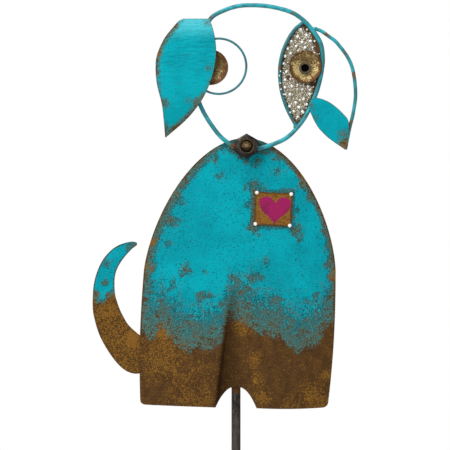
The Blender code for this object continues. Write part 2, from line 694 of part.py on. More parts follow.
def main():
    clear_scene()
    turquoise = metal("turquoise_paint", (0.0, 0.39, 0.48), 0.55, 0.0)
    wire_paint = metal("wire_paint", (0.06, 0.36, 0.40), 0.45, 0.0)
    rust = metal("rusty_steel", (0.20, 0.11, 0.04), 0.85, 0.2)
    dark_steel = metal("dark_steel", (0.07, 0.06, 0.055), 0.45, 0.8)
    brass = metal("aged_brass", (0.42, 0.30, 0.12), 0.4, 0.9)
    white = metal("white_stud", (0.85, 0.85, 0.83), 0.2, 0.0)

    make_stake(dark_steel)
    make_body(turquoise)
    make_nose(dark_steel, brass)
    ring = ring_path()
    ring_line = lift(ring, RING_Y)
    wire("head_ring", ring_line, RING_RADIUS, RING_PITCH, wire_paint)
    make_ear(turquoise)
    make_eye_ring(on_head(EYE_RING_PLACE), wire_paint)
    make_eye_cup("left", LEFT_CUP_PLACE, LEFT_CUP_RADIUS, ring, PANEL_FRONT_Y - GAP, brass,
                 dark_steel)

    frame = smooth_path([on_head(share) for share in FRAME_BENDS])
    cut = butt_against(lift(frame, RING_Y), FRAME_WIRE_RADIUS, ring_line, RING_RADIUS)
    cut = butt_against(cut[::-1], FRAME_WIRE_RADIUS, ring_line, RING_RADIUS)
    wire("eye_frame_right", cut, FRAME_WIRE_RADIUS, FRAME_PITCH, wire_paint)
    make_eye_cup("right", RIGHT_CUP_PLACE, RIGHT_CUP_RADIUS, ring, PANEL_FRONT_Y - GAP, brass,
                 dark_steel)
    make_eye_panel(ring, frame, rust)

    ear_wire = smooth_path([on_head(share) for share in EAR_WIRE_BENDS])
    tip_y = LEAF_BACK_Y + GAP + EAR_WIRE_RADIUS
    cut = butt_against(lift(ear_wire, RING_Y, tip_y), EAR_WIRE_RADIUS, ring_line, RING_RADIUS)
    wire("ear_wire_right", cut, EAR_WIRE_RADIUS, EAR_WIRE_PITCH, wire_paint)
    make_leaf(turquoise)
    make_tail(turquoise)
    make_patch(rust, white)


main()
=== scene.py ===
import math

import bmesh
import bpy
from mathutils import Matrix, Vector, kdtree, noise


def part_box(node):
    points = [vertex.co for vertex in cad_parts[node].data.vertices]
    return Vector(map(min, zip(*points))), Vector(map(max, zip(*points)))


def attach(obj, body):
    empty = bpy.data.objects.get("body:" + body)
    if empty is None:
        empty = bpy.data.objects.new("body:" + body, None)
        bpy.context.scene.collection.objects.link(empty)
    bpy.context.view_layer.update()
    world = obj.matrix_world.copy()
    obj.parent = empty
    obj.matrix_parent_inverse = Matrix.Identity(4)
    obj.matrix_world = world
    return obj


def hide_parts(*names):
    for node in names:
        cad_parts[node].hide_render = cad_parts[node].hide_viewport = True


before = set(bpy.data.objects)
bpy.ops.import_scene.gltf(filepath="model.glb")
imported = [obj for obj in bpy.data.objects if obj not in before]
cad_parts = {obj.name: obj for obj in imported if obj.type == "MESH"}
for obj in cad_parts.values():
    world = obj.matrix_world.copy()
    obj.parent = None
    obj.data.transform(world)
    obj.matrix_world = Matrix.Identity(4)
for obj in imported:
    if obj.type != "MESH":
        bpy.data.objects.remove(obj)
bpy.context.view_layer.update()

# Metres, +Z up, the figure faces -Y, and the stake's lower end is the origin.
gap = 0.0003             # clearance between welded pieces, as in the solids
pixel = 0.0011           # one pixel of the 450 x 450 photo at the figure
stakeAcross = 236.05     # the stake's column in the photo
feetDown = 409.0         # the row of the lowest sole in the photo


def nodeBox(node):
    low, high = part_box(node)
    return Vector(low), Vector(high)


bodyLow, bodyHigh = nodeBox("body_plate")
stakeLow, stakeHigh = nodeBox("stake_rod")
nutLow, nutHigh = nodeBox("nose_nut")
ringLow, ringHigh = nodeBox("head_ring")
tailFrontY = nodeBox("tail")[0].y
feetZ = bodyLow.z
bodyTopZ = bodyHigh.z
bodySheet = 0.0020
bodyFrontY = -(stakeHigh.x + gap) - bodySheet
nutMiddle = (nutLow + nutHigh) / 2
ringY = (ringLow.y + ringHigh.y) / 2
ringRadius = (ringHigh.y - ringLow.y) / 2


def atPixel(across, down):  # the place (x, z) of a spot seen in the photo
    return Vector(((across - stakeAcross) * pixel, feetZ + (feetDown - down) * pixel))


def smoothStep(t):
    t = min(1.0, max(0.0, t))
    return t * t * (3 - 2 * t)


# Paths and outlines

def smoothPath(points, steps=24):  # through every point, with no corners
    ends = [points[0] * 2 - points[1], *points, points[-1] * 2 - points[-2]]
    path = []
    for i in range(1, len(ends) - 2):
        a, b, c, d = ends[i - 1:i + 3]
        bend, twist = 2 * a - 5 * b + 4 * c - d, 3 * b - a - 3 * c + d
        for k in range(steps):
            t = k / steps
            path.append(0.5 * (2 * b + (c - a) * t + bend * t * t + twist * t ** 3))
    return [*path, points[-1].copy()]


def runLengths(path):
    run = [0.0]
    for a, b in zip(path, path[1:]):
        run.append(run[-1] + (b - a).length)
    return run


def spreadEvenly(path, count):
    run = runLengths(path)
    out = []
    at = 0
    for k in range(count + 1):
        want = run[-1] * k / count
        while at < len(run) - 2 and run[at + 1] < want:
            at += 1
        step = max(run[at + 1] - run[at], 1e-9)
        out.append(path[at].lerp(path[at + 1], min(1.0, (want - run[at]) / step)))
    return out


def lift(path, y, yEnd=None):
    yEnd = y if yEnd is None else yEnd
    last = len(path) - 1
    return [Vector((p.x, y + (yEnd - y) * k / last, p.y)) for k, p in enumerate(path)]


def grainAt(place, size, octaves=3):  # about -1 to 1, with grains of the given size
    return noise.fractal(place / size, 0.8, 2.0, octaves)


# Shader building

def srgb(red, green, blue):
    linear = []
    for value in (red, green, blue):
        value /= 255
        linear.append(value / 12.92 if value <= 0.04045 else ((value + 0.055) / 1.055) ** 2.4)
    return (*linear, 1.0)


class Signal:  # one socket, so that shader maths reads as sums
    def __init__(self, finish, socket):
        self.finish, self.socket = finish, socket

    def maths(self, operation, other):
        return self.finish.node("ShaderNodeMath", {"operation": operation}, {0: self, 1: other})

    def __add__(self, other):
        return self.maths("ADD", other)

    def __sub__(self, other):
        return self.maths("SUBTRACT", other)

    def __mul__(self, other):
        return self.maths("MULTIPLY", other)


class Finish:  # one material and the nodes in it
    def __init__(self, name, **plain):
        self.material = bpy.data.materials.new(name)
        self.material.use_nodes = True
        self.tree = self.material.node_tree
        self.shader = self.tree.nodes["Principled BSDF"]
        self.give(**plain)

    def node(self, kind, settings, feeds, out=0):
        made = self.tree.nodes.new(kind)
        for key, value in settings.items():
            setattr(made, key, value)
        for key, value in feeds.items():
            self.feed(made.inputs[key], value)
        return Signal(self, made.outputs[out])

    def feed(self, socket, value):
        if isinstance(value, Signal):
            self.tree.links.new(value.socket, socket)
        else:
            socket.default_value = value

    def give(self, **feeds):
        for socket, value in feeds.items():
            self.feed(self.shader.inputs[socket.replace("_", " ")], value)

    def place(self):
        return self.node("ShaderNodeTexCoord", {}, {}, "Object")

    def attribute(self, name):
        return self.node("ShaderNodeAttribute", {"attribute_name": name}, {}, "Fac")

    def noise(self, spot, scale, detail, rough):
        return self.node("ShaderNodeTexNoise", {}, {"Vector": spot, "Scale": scale,
                                                    "Detail": detail, "Roughness": rough})

    def grain(self, size, detail=3.0, rough=0.6, shift=(0.0, 0.0, 0.0), squash=(1.0, 1.0, 1.0)):
        spot = self.node("ShaderNodeMapping", {}, {"Vector": self.place(), "Location": shift,
                                                   "Scale": squash})
        return self.noise(spot, 1 / size, detail, rough)

    def broadGrain(self, size, **placed):
        return self.grain(size, 2.0, 0.5, **placed)

    def between(self, value, low, high, toLow=0.0, toHigh=1.0):
        return self.node("ShaderNodeMapRange", {"interpolation_type": "SMOOTHSTEP"},
                         {"Value": value, "From Min": low, "From Max": high,
                          "To Min": toLow, "To Max": toHigh})

    def mix(self, mask, first, second, how="MIX"):
        return self.node("ShaderNodeMix", {"data_type": "RGBA", "blend_type": how},
                         {0: mask, 6: first, 7: second}, 2)

    def vector(self, operation, first, feeds=(), out=0):
        return self.node("ShaderNodeVectorMath", {"operation": operation},
                         {0: first, **dict(enumerate(feeds, 1))}, out)

    def offset(self, middle):
        return self.vector("SUBTRACT", self.place(), [tuple(middle)])

    def height(self, vector):
        return self.node("ShaderNodeSeparateXYZ", {}, {0: vector}, 2)

    def fromAxis(self, offset):  # how far it is from a line along Y
        return self.vector("LENGTH", self.vector("MULTIPLY", offset, [(1.0, 0.0, 1.0)]), (), 1)

    def bump(self, height, depth, strength=0.5):
        self.give(Normal=self.node("ShaderNodeBump", {}, {"Strength": strength, "Height": height,
                                                          "Distance": depth}))


# Finishes

sheetPaint = {
    "paint": srgb(0, 150, 164), "paintLight": srgb(0, 165, 179), "paintThin": srgb(86, 115, 101),
    # on this line: a dark fleck tone, a tint multiplied in as painted shade, and a painted
    # highlight tone
    "darkFleck": srgb(6, 66, 72), "grime": srgb(110, 106, 90), "pale": srgb(112, 205, 215),
    "rustDark": srgb(74, 51, 28), "rustMid": srgb(91, 63, 33), "rustOchre": srgb(146, 106, 36),
    "rustWarm": srgb(130, 82, 40),
    # sizes of the grain, in metres
    "speckSize": 0.0014, "patchSize": 0.0065, "broadSize": 0.032, "fleckSize": 0.0013,
    "rustFineSize": 0.0015, "rustCoarseSize": 0.010, "orangeSize": 0.004, "rippleSize": 0.0028,
    # where each layer starts and is full, and how strong it is
    "bare": (0.46, 0.64), "thin": (0.08, 0.56), "light": (0.35, 0.65), "fleck": (0.575, 0.665),
    "fleckWear": (0.05, 0.32), "rust": (0.40, 0.60), "ochre": (0.605, 0.70),
    "orange": (0.66, 0.82), "rough": (0.58, 0.9),
    "fleckAmount": 0.80, "thinAmount": 0.72, "ochreAmount": 0.72, "orangeAmount": 0.55,
    "specular": 0.06, "bumpDepth": 0.0009,
}


def rustColour(f, warm):
    look = sheetPaint
    fine = f.grain(look["rustFineSize"], 3.0, 0.65, shift=(0.3, 0.1, 0.2))
    coarse = f.grain(look["rustCoarseSize"], shift=(0.7, 0.4, 0.9))
    tone = f.mix(f.between(coarse * 0.5 + fine * 0.5, *look["rust"]), look["rustDark"],
                 look["rustMid"])
    ochre = f.between(fine + (coarse - 0.5) * 0.14 + warm * 0.20, *look["ochre"])
    tone = f.mix(ochre * look["ochreAmount"], tone, look["rustOchre"])
    spots = f.grain(look["orangeSize"], shift=(0.2, 0.8, 0.5))
    orange = f.between(spots + warm * 0.22, *look["orange"])
    return f.mix(orange * look["orangeAmount"], tone, look["rustWarm"])


def paintedSheet(name, ripple=0.0, flecking=1.0):
    look = sheetPaint
    f = Finish(name, Metallic=0.0, Specular_IOR_Level=look["specular"])
    wear = f.attribute("wear")
    fine = f.grain(look["speckSize"])
    patch = f.grain(look["patchSize"], shift=(0.5, 0.2, 0.1))
    broad = f.broadGrain(look["broadSize"], shift=(0.1, 0.6, 0.3))
    bare = f.between(wear + (fine - 0.5) * 2.6 + (patch - 0.5), *look["bare"])
    thin = f.between(wear + (patch - 0.5) * 0.7, *look["thin"])
    paint = f.mix(f.between(broad, *look["light"]), look["paint"], look["paintLight"])
    # paler paint as a painted highlight, where the attribute read here is set
    paint = f.mix(f.attribute("pale"), paint, look["pale"])
    flecks = f.broadGrain(look["fleckSize"], shift=(0.9, 0.9, 0.2))
    fleck = f.between(flecks + f.between(wear, *look["fleckWear"]) * 0.20, *look["fleck"])
    paint = f.mix(fleck * (look["fleckAmount"] * flecking), paint, look["darkFleck"])
    paint = f.mix(thin * look["thinAmount"], paint, look["paintThin"])
    tone = f.mix(bare, paint, rustColour(f, f.attribute("warm")))
    # painted shade: the colour is darkened by the attribute read here
    f.give(Base_Color=f.mix(f.attribute("grime"), tone, look["grime"], "MULTIPLY"),
           Roughness=f.between(bare, 0.0, 1.0, *look["rough"]))
    height = fine * 0.6 + patch * 0.5 - bare * 0.35
    if ripple:
        wave = f.broadGrain(look["rippleSize"], squash=(0.32, 1.0, 1.0))
        height = height + f.attribute("ripple") * ripple * wave
    f.bump(height, look["bumpDepth"], 0.6)
    return f.material


wirePaintTones = {
    "paint": srgb(40, 164, 176), "shade": srgb(44, 124, 130), "thinShade": srgb(48, 106, 110),
    "rust": srgb(104, 80, 54),
}


def paintedWire(name, greyer=0.0, shade="shade"):
    f = Finish(name, Metallic=0.0, Specular_IOR_Level=0.35)
    fine = f.grain(0.0018, shift=(0.4, 0.3, 0.8))
    patch = f.broadGrain(0.009, shift=(0.8, 0.1, 0.6))
    paint = f.mix(f.between(patch, 0.38, 0.62, greyer, 1.0), wirePaintTones["paint"],
                  wirePaintTones[shade])
    paint = f.mix(f.attribute("dull") * 0.8, paint, wirePaintTones["thinShade"])
    uneven = (fine - 0.5) * 1.5 + (patch - 0.5) * 1.3
    bare = f.between(f.attribute("wear") + uneven, 0.44, 0.60)
    f.give(Base_Color=f.mix(bare, paint, wirePaintTones["rust"]),
           Roughness=f.between(bare, 0.0, 1.0, 0.38, 0.8))
    f.bump(fine * 0.5 - bare * 0.3, 0.0004)
    return f.material


def rustySteel(name):
    f = Finish(name, Metallic=0.0)
    fine = f.grain(0.0014, 4.0, 0.65)
    f.give(Base_Color=f.mix(f.between(fine, 0.42, 0.62), srgb(66, 42, 24), srgb(120, 78, 34)),
           Roughness=f.between(fine, 0.3, 0.7, 0.75, 0.95))
    f.bump(fine, 0.0006, 0.6)
    return f.material


patchTones = {
    "rust": srgb(144, 98, 40), "rustDark": srgb(96, 64, 26),
    "heart": srgb(154, 30, 88), "heartDark": srgb(132, 32, 78),
}


def paintedPatch(name):
    f = Finish(name, Metallic=0.0, Specular_IOR_Level=0.1)
    fine = f.grain(0.0016, shift=(0.2, 0.5, 0.4))
    coarse = f.broadGrain(0.009, shift=(0.6, 0.5, 0.1))
    rust = f.mix(f.between(fine + f.attribute("wear") * 0.35, 0.42, 0.66), patchTones["rust"],
                 patchTones["rustDark"])
    heart = f.mix(f.between(coarse, 0.40, 0.62), patchTones["heart"], patchTones["heartDark"])
    inside = f.between(f.attribute("heart") + (fine - 0.5) * 0.5, -0.10, 0.10)
    f.give(Base_Color=f.mix(inside, rust, heart), Roughness=f.between(inside, 0.0, 1.0, 0.8, 0.6))
    f.bump(fine, 0.0005)
    return f.material


holeTones = {"brown": srgb(104, 90, 64), "shadow": srgb(26, 24, 24)}
steelRust = srgb(98, 66, 34)


def darkSteel(name, light, dark, metal=0.55, hole=None):
    f = Finish(name, Metallic=metal, Specular_IOR_Level=0.2)
    fine = f.grain(0.0016, squash=(1.0, 1.0, 0.25))
    coarse = f.broadGrain(0.012, squash=(1.0, 1.0, 0.3))
    steel = f.mix(f.between(fine * 0.5 + coarse * 0.5, 0.40, 0.60), dark, light)
    if hole:  # browner round a hole along Y, and painted shade below its middle
        middle, radius = hole
        offset = f.offset(middle)
        away = f.fromAxis(offset)
        brown = f.between(away + (fine - 0.5) * 0.004, radius + 0.0030, radius + 0.0004)
        steel = f.mix(brown * 0.6, steel, holeTones["brown"])
        steel = f.mix(f.between(f.height(offset), -0.002, -0.010) * 0.8, steel,
                      holeTones["shadow"])
        steel = f.mix(f.between(away, radius + 0.0038, radius + 0.0056) * 0.55, steel, dark)
    rusted = f.between(f.attribute("wear") + (fine - 0.5) * 1.4, 0.42, 0.60)
    f.give(Base_Color=f.mix(rusted, steel, steelRust),
           Roughness=f.between(rusted + fine * 0.3, 0.0, 1.0, 0.38, 0.85))
    f.bump(fine, 0.0004)
    return f.material


brassTones = {
    "bright": srgb(232, 210, 148), "mid": srgb(150, 122, 68), "dark": srgb(82, 57, 26),
    "speck": srgb(96, 62, 24), "rim": srgb(96, 64, 34), "rimBlend": 0.12,
    # of each eye: where its rim starts, how much browner it is, and how much it is specked
    "left": (0.70, 0.13, 0.1), "right": (0.77, 0.0, 0.9),
}


def agedBrass(name, centre, side):
    rimStart, browner, specked = brassTones[side]
    f = Finish(name, Specular_IOR_Level=0.2)
    ray = f.vector("NORMALIZE", f.offset(centre))
    streak = f.noise(ray, 9.0, 4.0, 0.65)
    up = f.height(ray)
    fine = f.grain(0.0013, 3.0, 0.65)
    coarse = f.grain(0.006)
    tone = streak * 0.5 + fine * 0.5
    plate = f.mix(f.between(tone, 0.43, 0.52), brassTones["mid"], brassTones["bright"])
    # darker by random dirt and specks, and by painted shade towards the top of the dish, where the
    # rim shades its inner wall
    mottle = fine * 0.5 + streak * 0.25 + coarse * 0.25
    dirtAndShade = f.between((mottle - 0.5) * 1.7 + up * 0.09 + browner, 0.01, 0.13)
    plate = f.mix(dirtAndShade * 0.85, plate, brassTones["dark"])
    specks = f.between(f.grain(0.0019, 3.0, 0.65, shift=(0.6, 0.3, 0.1)) + up * 0.03, 0.52, 0.58)
    plate = f.mix(specks * specked, plate, brassTones["speck"])
    # "across" is 0 at the cup's middle and 1 at its rim
    uneven = f.attribute("across") + (fine - 0.5) * 0.5 + (coarse - 0.5) * 0.6 - up * 0.06
    rim = f.between(uneven, rimStart, rimStart + brassTones["rimBlend"])
    f.give(Base_Color=f.mix(rim, plate, brassTones["rim"]),
           Metallic=f.between(rim, 0.0, 1.0, 0.35, 0.15),
           Roughness=f.between(fine, 0.3, 0.7, 0.42, 0.66))
    f.bump(streak * 0.5 + fine * 0.6, 0.0006, 0.7)
    return f.material


boltTones = {
    "upper": srgb(104, 85, 54), "upperDark": srgb(66, 49, 25), "lower": srgb(54, 36, 16),
    "borderDrop": 0.0016,   # of the edge of the painted shadow on the lower part, below the middle
    # nub: a lighter tone on the nub, as a painted highlight
    "nub": srgb(140, 114, 90), "nubRadius": 0.0024, "nubRise": 0.0006, "nubBlend": 0.0003,
}


def wornBolt(name, middle):
    f = Finish(name, Metallic=0.1, Specular_IOR_Level=0.15)
    fine = f.grain(0.0012, 3.0, 0.65)
    # the crown's lower part is painted dark as its shadow
    border = middle.z - boltTones["borderDrop"]
    upper = f.between(f.height(f.place()) + (fine - 0.5) * 0.0016, border - 0.0003,
                      border + 0.0005)
    tan = f.mix(f.between(fine, 0.42, 0.58), boltTones["upperDark"], boltTones["upper"])
    # a lighter tone on the nub, as a painted highlight
    reach, blend = boltTones["nubRadius"], boltTones["nubBlend"]
    away = f.fromAxis(f.offset(middle))
    tan = f.mix(f.between(away, reach + blend, reach - blend) * 0.7, tan, boltTones["nub"])
    f.give(Base_Color=f.mix(upper, boltTones["lower"], tan),
           Roughness=f.between(fine, 0.3, 0.7, 0.55, 0.75))
    f.bump(fine + upper * 0.8, 0.0008, 0.8)
    return f.material


def speckled(name, tone, toneDark, shine=0.3):
    f = Finish(name, Metallic=0.1, Specular_IOR_Level=shine)
    fine = f.grain(0.0015)
    f.give(Base_Color=f.mix(f.between(fine, 0.42, 0.60), toneDark, tone),
           Roughness=f.between(fine, 0.3, 0.7, 0.55, 0.8))
    f.bump(fine, 0.0004)
    return f.material


def beadGlass(name, tint, shade, see, rough, cloudSize=0.0035):
    f = Finish(name, Roughness=rough, IOR=1.5, Transmission_Weight=see)
    f.give(Base_Color=f.mix(f.between(f.grain(cloudSize), 0.41, 0.58), shade, tint))
    return f.material


# Finished pieces

def plainMesh(piece):
    view = bpy.context.evaluated_depsgraph_get()
    mesh = bpy.data.meshes.new_from_object(piece.evaluated_get(view))
    piece.modifiers.clear()
    piece.data = mesh


def sharpen(piece, crease):
    piece.data.set_sharp_from_angle(angle=math.radians(crease))


def newPiece(name, bm, material, crease=40):
    mesh = bpy.data.meshes.new(name)
    bm.to_mesh(mesh)
    bm.free()
    piece = bpy.data.objects.new(name, mesh)
    bpy.context.scene.collection.objects.link(piece)
    mesh.materials.append(material)
    mesh.shade_smooth()
    sharpen(piece, crease)
    return piece


def install(piece, slot, *nodes):
    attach(piece, "root")
    if nodes:
        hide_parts(*nodes)
    print("made", piece.name, len(piece.data.polygons), "faces")


def roundModifier(piece, width, angle):
    rim = piece.modifiers.new("rim", "BEVEL")
    rim.width = width
    rim.segments = 2
    rim.limit_method = "ANGLE"
    rim.angle_limit = math.radians(angle)


def turn(k, sides):  # the angle of one of some even steps round a circle
    return 2 * math.pi * k / sides


def bridge(bm, rings, closed=False):  # faces between rings of corners; a tip is a ring of one
    pairs = list(zip(rings, rings[1:])) + ([(rings[-1], rings[0])] if closed else [])
    for a, b in pairs:
        sides = max(len(a), len(b))
        for k in range(sides):
            m = (k + 1) % sides
            corners = [a[k % len(a)], a[m % len(a)], b[m % len(b)], b[k % len(b)]]
            bm.faces.new(list(dict.fromkeys(corners)))


def closeTube(bm, rings):
    bridge(bm, rings)
    bm.faces.new(rings[0])
    bm.faces.new(rings[-1])


def faceForward(bm):
    bmesh.ops.recalc_face_normals(bm, faces=bm.faces)
    bm.normal_update()
    if sum(face.normal.y * face.calc_area() for face in bm.faces) > 0:
        bmesh.ops.reverse_faces(bm, faces=bm.faces)


sheetForm = {
    "edgeStep": 0.0006,     # between the places from which a spot's distance to the edge is read
    "weldGap": 0.000002,    # corners nearer than this become one
    "rimShare": 0.22,       # of the thickness, for the rounding of the rim
    "rimAngle": 55, "crease": 60,
}


def joinCorners(bm):
    bmesh.ops.remove_doubles(bm, verts=bm.verts, dist=sheetForm["weldGap"])


def outlineTree(bm):
    spots = []
    for edge in bm.edges:
        if edge.is_boundary:
            a, b = (v.co for v in edge.verts)
            parts = max(1, round((b - a).length / sheetForm["edgeStep"]))
            spots += [a.lerp(b, k / parts) for k in range(parts)]
    tree = kdtree.KDTree(len(spots))
    for k, spot in enumerate(spots):
        tree.insert((spot.x, 0.0, spot.z), k)
    tree.balance()
    return tree


def buildSheet(name, grids, front, thickness, marks, relief, material):
    # grids: rows of (x, z) places; marks and relief are read at a place and its edge distance
    bm = bmesh.new()
    for rows in grids:
        lines = [[bm.verts.new((p.x, 0.0, p.y)) for p in row] for row in rows]
        for upper, lower in zip(lines, lines[1:]):
            for k in range(len(upper) - 1):
                bm.faces.new((upper[k], lower[k], lower[k + 1], upper[k + 1]))
    joinCorners(bm)
    tree = outlineTree(bm)
    first = next(iter(bm.verts)).co
    layers = {key: bm.verts.layers.float.new(key) for key in marks(first.x, first.z, 0.0)}
    for vert in bm.verts:
        x, z = vert.co.x, vert.co.z
        distance = tree.find((x, 0.0, z))[2]
        for key, value in marks(x, z, distance).items():
            vert[layers[key]] = value
        vert.co.y = front(x, z)
        vert.co.y -= relief(x, z, distance)
    faceForward(bm)
    piece = newPiece(name, bm, material, sheetForm["crease"])
    wall = piece.modifiers.new("sheet", "SOLIDIFY")
    wall.thickness = thickness
    wall.offset = -1.0
    wall.use_even_offset = True
    roundModifier(piece, thickness * sheetForm["rimShare"], sheetForm["rimAngle"])
    plainMesh(piece)
    sharpen(piece, sheetForm["crease"])
    return piece


def sheetGrid(a, b, along, across):
    first = spreadEvenly(a, along)
    second = spreadEvenly(b, along)
    return [[p.lerp(q, k / across) for k in range(across + 1)] for p, q in zip(first, second)]


def lumps(depth, size, layer, octaves):  # heights by noise alone, each use with its own layer
    return lambda x, z, distance: depth * grainAt(Vector((x, layer, z)), size, octaves)


def edgeWear(distance, width, amount):
    return amount * max(0.0, 1 - distance / width) ** 0.8


def spotWear(x, z, spots, blend=1.8):  # blend: how far past its radius a spot fades out
    most = 0.0
    for across, down, radius, amount in spots:
        spot = atPixel(across, down)
        away = math.hypot(x - spot.x, z - spot.y) / (radius * pixel)
        if away < blend:
            most = max(most, amount * (1 - smoothStep(away / blend)))
    return most


# the last two arguments carry painted shade and a painted highlight
def wornMarks(look, x, z, wear, warm, grime=0.0, pale=0.0):
    return {"wear": max(wear, spotWear(x, z, look["rustSpots"])),
            "warm": max(warm, spotWear(x, z, look["warmSpots"])), "grime": grime, "pale": pale}


def levelBetween(x, places):  # a height read from a few (x, z) places in order of x
    if x <= places[0].x:
        return places[0].y
    for a, b in zip(places, places[1:]):
        if x <= b.x:
            return a.y + (b.y - a.y) * smoothStep((x - a.x) / (b.x - a.x))
    return places[-1].y


# Body sheet

body = {
    "width": 0.2120, "height": 0.2983,
    "domeHeight": 0.1498, "domeRisePower": 1.55, "domeRoundPower": 1.9,
    "topShift": 0.0124, "footMiddle": -0.0022, "hipSwell": 0.0017, "footTaper": 0.0027,
    "footCorner": 0.0055, "leftSoleRise": 0.0034, "rightSoleSag": 0.0022,
    "sagShift": 1.1,
    "edgeTurn": 0.0045, "edgeTurnPower": 3.0,
    "notchHeight": 0.0245, "notchHalfWidth": 0.0225, "notchPower": 0.45,
    "grooveHeight": 0.1330, "grooveHalfWidth": 0.0235, "groovePower": 0.6,
    "legRise": 0.0058, "legRamp": 0.95, "leftWall": 0.0040, "rightWall": 0.0095,
    "outerColumns": 46, "wallColumns": 9, "innerColumns": 9,
    "domeRows": 70, "domeBunching": 1.7, "waistRows": 96, "legRows": 20,
    "footShares": (0.14, 0.07, 0.02, 0.0),          # of the corner's radius, for the last rows
    "crestShares": (0.12, 0.9), "valleyShare": 0.45,    # least and most of a row's span
    "dents": (0.00022, 0.014, 0.0, 2), "pits": (0.00010, 0.0035, 0.0, 2),
    "raggedness": 0.0050, "raggedSize": 0.007,
    "borderWaves": (0.0030, 0.012, 0.0, 3), "borderNoise": (0.0020, 0.004, 0.2, 3),
    "lostAtBorder": 0.56, "lostBelow": 1.2, "lossDepth": 0.013, "fadeHeight": 0.080,
    # over the apex, behind the loop and nut: thinner paint, and painted shade
    "apexRow": 146, "apexWear": (0.22, 0.32), "apexShade": 0.3, "bareEdge": 0.0008,
    # worn rims: width and amount, and the rows where the wider ones start and end
    "rim": {"left": (0.0072, 0.58), "leftLow": (0.0125, 0.58), "right": (0.0072, 0.74),
            "rightTop": (0.0070, 0.9)},
    "leftLowRow": 160, "rightTopRow": 205,
    "patchHalo": 0.0040, "haloUneven": 0.9, "haloSize": 0.009, "haloLeast": 0.0005,
    "haloLeft": 0.52, "haloElsewhere": 0.26, "haloLeftWidth": 0.003,
    "spotShare": 0.72, "warmRow": 345, "leastWarm": 0.08,
    # the painted shadow in the groove: how deep it is full, and where it starts left of the wall
    "shadowDepth": 0.3, "shadowAmount": 0.68, "shadowStart": 0.0042, "shadowBlend": 0.0058,
    "shadowReach": 0.85,
    # where the rust in the groove is less warm, and how soon at its left, right and top
    "coolAmount": 0.9, "coolBlends": (0.0025, 0.006, 0.012),
    # the back: rust and warmth, each with the part that its broad grain adds
    "backWear": (0.26, 0.34), "backWarm": (0.3, 0.5), "backGrain": 0.030, "backShare": 0.6,
    "bareWear": 1.2,
    # the lowest sound paint, and spots of rust: column, row, radius and amount in the photo
    "paintEnds": [(141, 328), (152, 340), (161, 325), (170, 336), (180, 345), (188, 351),
                  (197, 346), (206, 348), (216, 345), (222, 341), (227, 321), (235, 318),
                  (242, 318), (249, 323), (258, 333), (267, 334), (280, 335), (288, 344),
                  (297, 352), (305, 347), (313, 344), (320, 340), (326, 327), (333, 321)],
    "rustSpots": [(238, 153, 6, 0.55), (241, 156, 4, 0.8), (247, 161, 4, 0.4), (233, 149, 5, 0.7),
                  (262, 152, 6, 0.55), (272, 150, 5, 0.6), (279, 156, 5, 0.55),
                  (224, 146, 6, 0.45), (212, 156, 8, 0.42), (254, 187, 7, 0.62),
                  (252, 205, 6, 0.50), (254, 228, 7, 0.72), (262, 190, 7, 0.45),
                  (296, 230, 6, 0.60), (300, 238, 5, 0.48), (295, 210, 4, 0.42),
                  (275, 229, 5, 0.38), (243, 292, 6, 0.92), (237, 282, 7, 0.50),
                  (234, 277, 5, 0.48), (255, 277, 8, 0.46), (201, 297, 6, 0.70),
                  (211, 294, 5, 0.46), (222, 302, 5, 0.46), (184, 271, 6, 0.52),
                  (203, 270, 4, 0.42), (172, 286, 7, 0.45), (188, 322, 8, 0.62),
                  (277, 301, 7, 0.62), (271, 309, 6, 0.50), (316, 296, 6, 0.42),
                  (306, 300, 5, 0.40), (257, 163, 6, 0.40), (276, 171, 6, 0.40),
                  (219, 178, 6, 0.36), (170, 243, 5, 0.38), (265, 262, 6, 0.34),
                  (176, 198, 8, 0.55), (168, 221, 9, 0.58), (153, 242, 6, 0.95),
                  (149, 268, 6, 0.90), (148, 250, 8, 0.60), (146, 288, 9, 0.66),
                  (144, 305, 9, 0.66), (143, 322, 9, 0.72), (290, 161, 8, 0.55),
                  (334, 276, 6, 0.98), (333, 262, 6, 0.85), (331, 246, 6, 0.8),
                  (327, 230, 5, 0.7), (333, 300, 6, 0.8), (334, 316, 6, 0.80),
                  (304, 185, 5, 0.80), (312, 198, 5, 0.72)],
    "warmSpots": [(153, 242, 7, 1.0), (149, 268, 7, 0.9), (163, 334, 10, 1.0),
                  (334, 276, 8, 1.0), (243, 327, 12, 0.7), (253, 360, 8, 0.9),
                  (255, 380, 8, 0.9), (262, 398, 8, 0.9),
                  (165, 355, 28, 0.75), (185, 375, 30, 0.45), (190, 400, 30, 0.5),
                  (176, 192, 7, 0.8), (300, 180, 8, 0.8), (310, 395, 12, 0.7),
                  (327, 375, 7, 0.8), (318, 400, 15, 0.75), (290, 404, 10, 0.5), (246, 160, 6, 0.2),
                  (225, 400, 14, 0.45)],
}


def bodyMiddle(z):
    return body["footMiddle"] + body["topShift"] * (z - feetZ) / body["height"]


def bodyHalfWidth(z):
    half = body["width"] / 2
    down = bodyTopZ - z
    if down <= body["domeHeight"]:
        left = max(0.0, 1 - down / body["domeHeight"])
        return half * (1 - left ** body["domeRisePower"]) ** (1 / body["domeRoundPower"])
    low = (down - body["domeHeight"]) / (body["height"] - body["domeHeight"])
    half += body["hipSwell"] * math.sin(math.pi * low) - body["footTaper"] * low * low
    corner = body["footCorner"] - (z - feetZ)
    if corner > 0:
        half -= body["footCorner"] - math.sqrt(max(0.0, body["footCorner"] ** 2 - corner ** 2))
    return half


def openingHalfWidth(kind, z):  # of the notch or the groove
    down = (feetZ + body[kind + "Height"] - z) / body[kind + "Height"]
    return body[kind + "HalfWidth"] * max(0.0, down) ** body[kind + "Power"]


def grooveDepth(z):  # 0 at the groove's top, 1 at the feet
    return (feetZ + body["grooveHeight"] - z) / body["grooveHeight"]


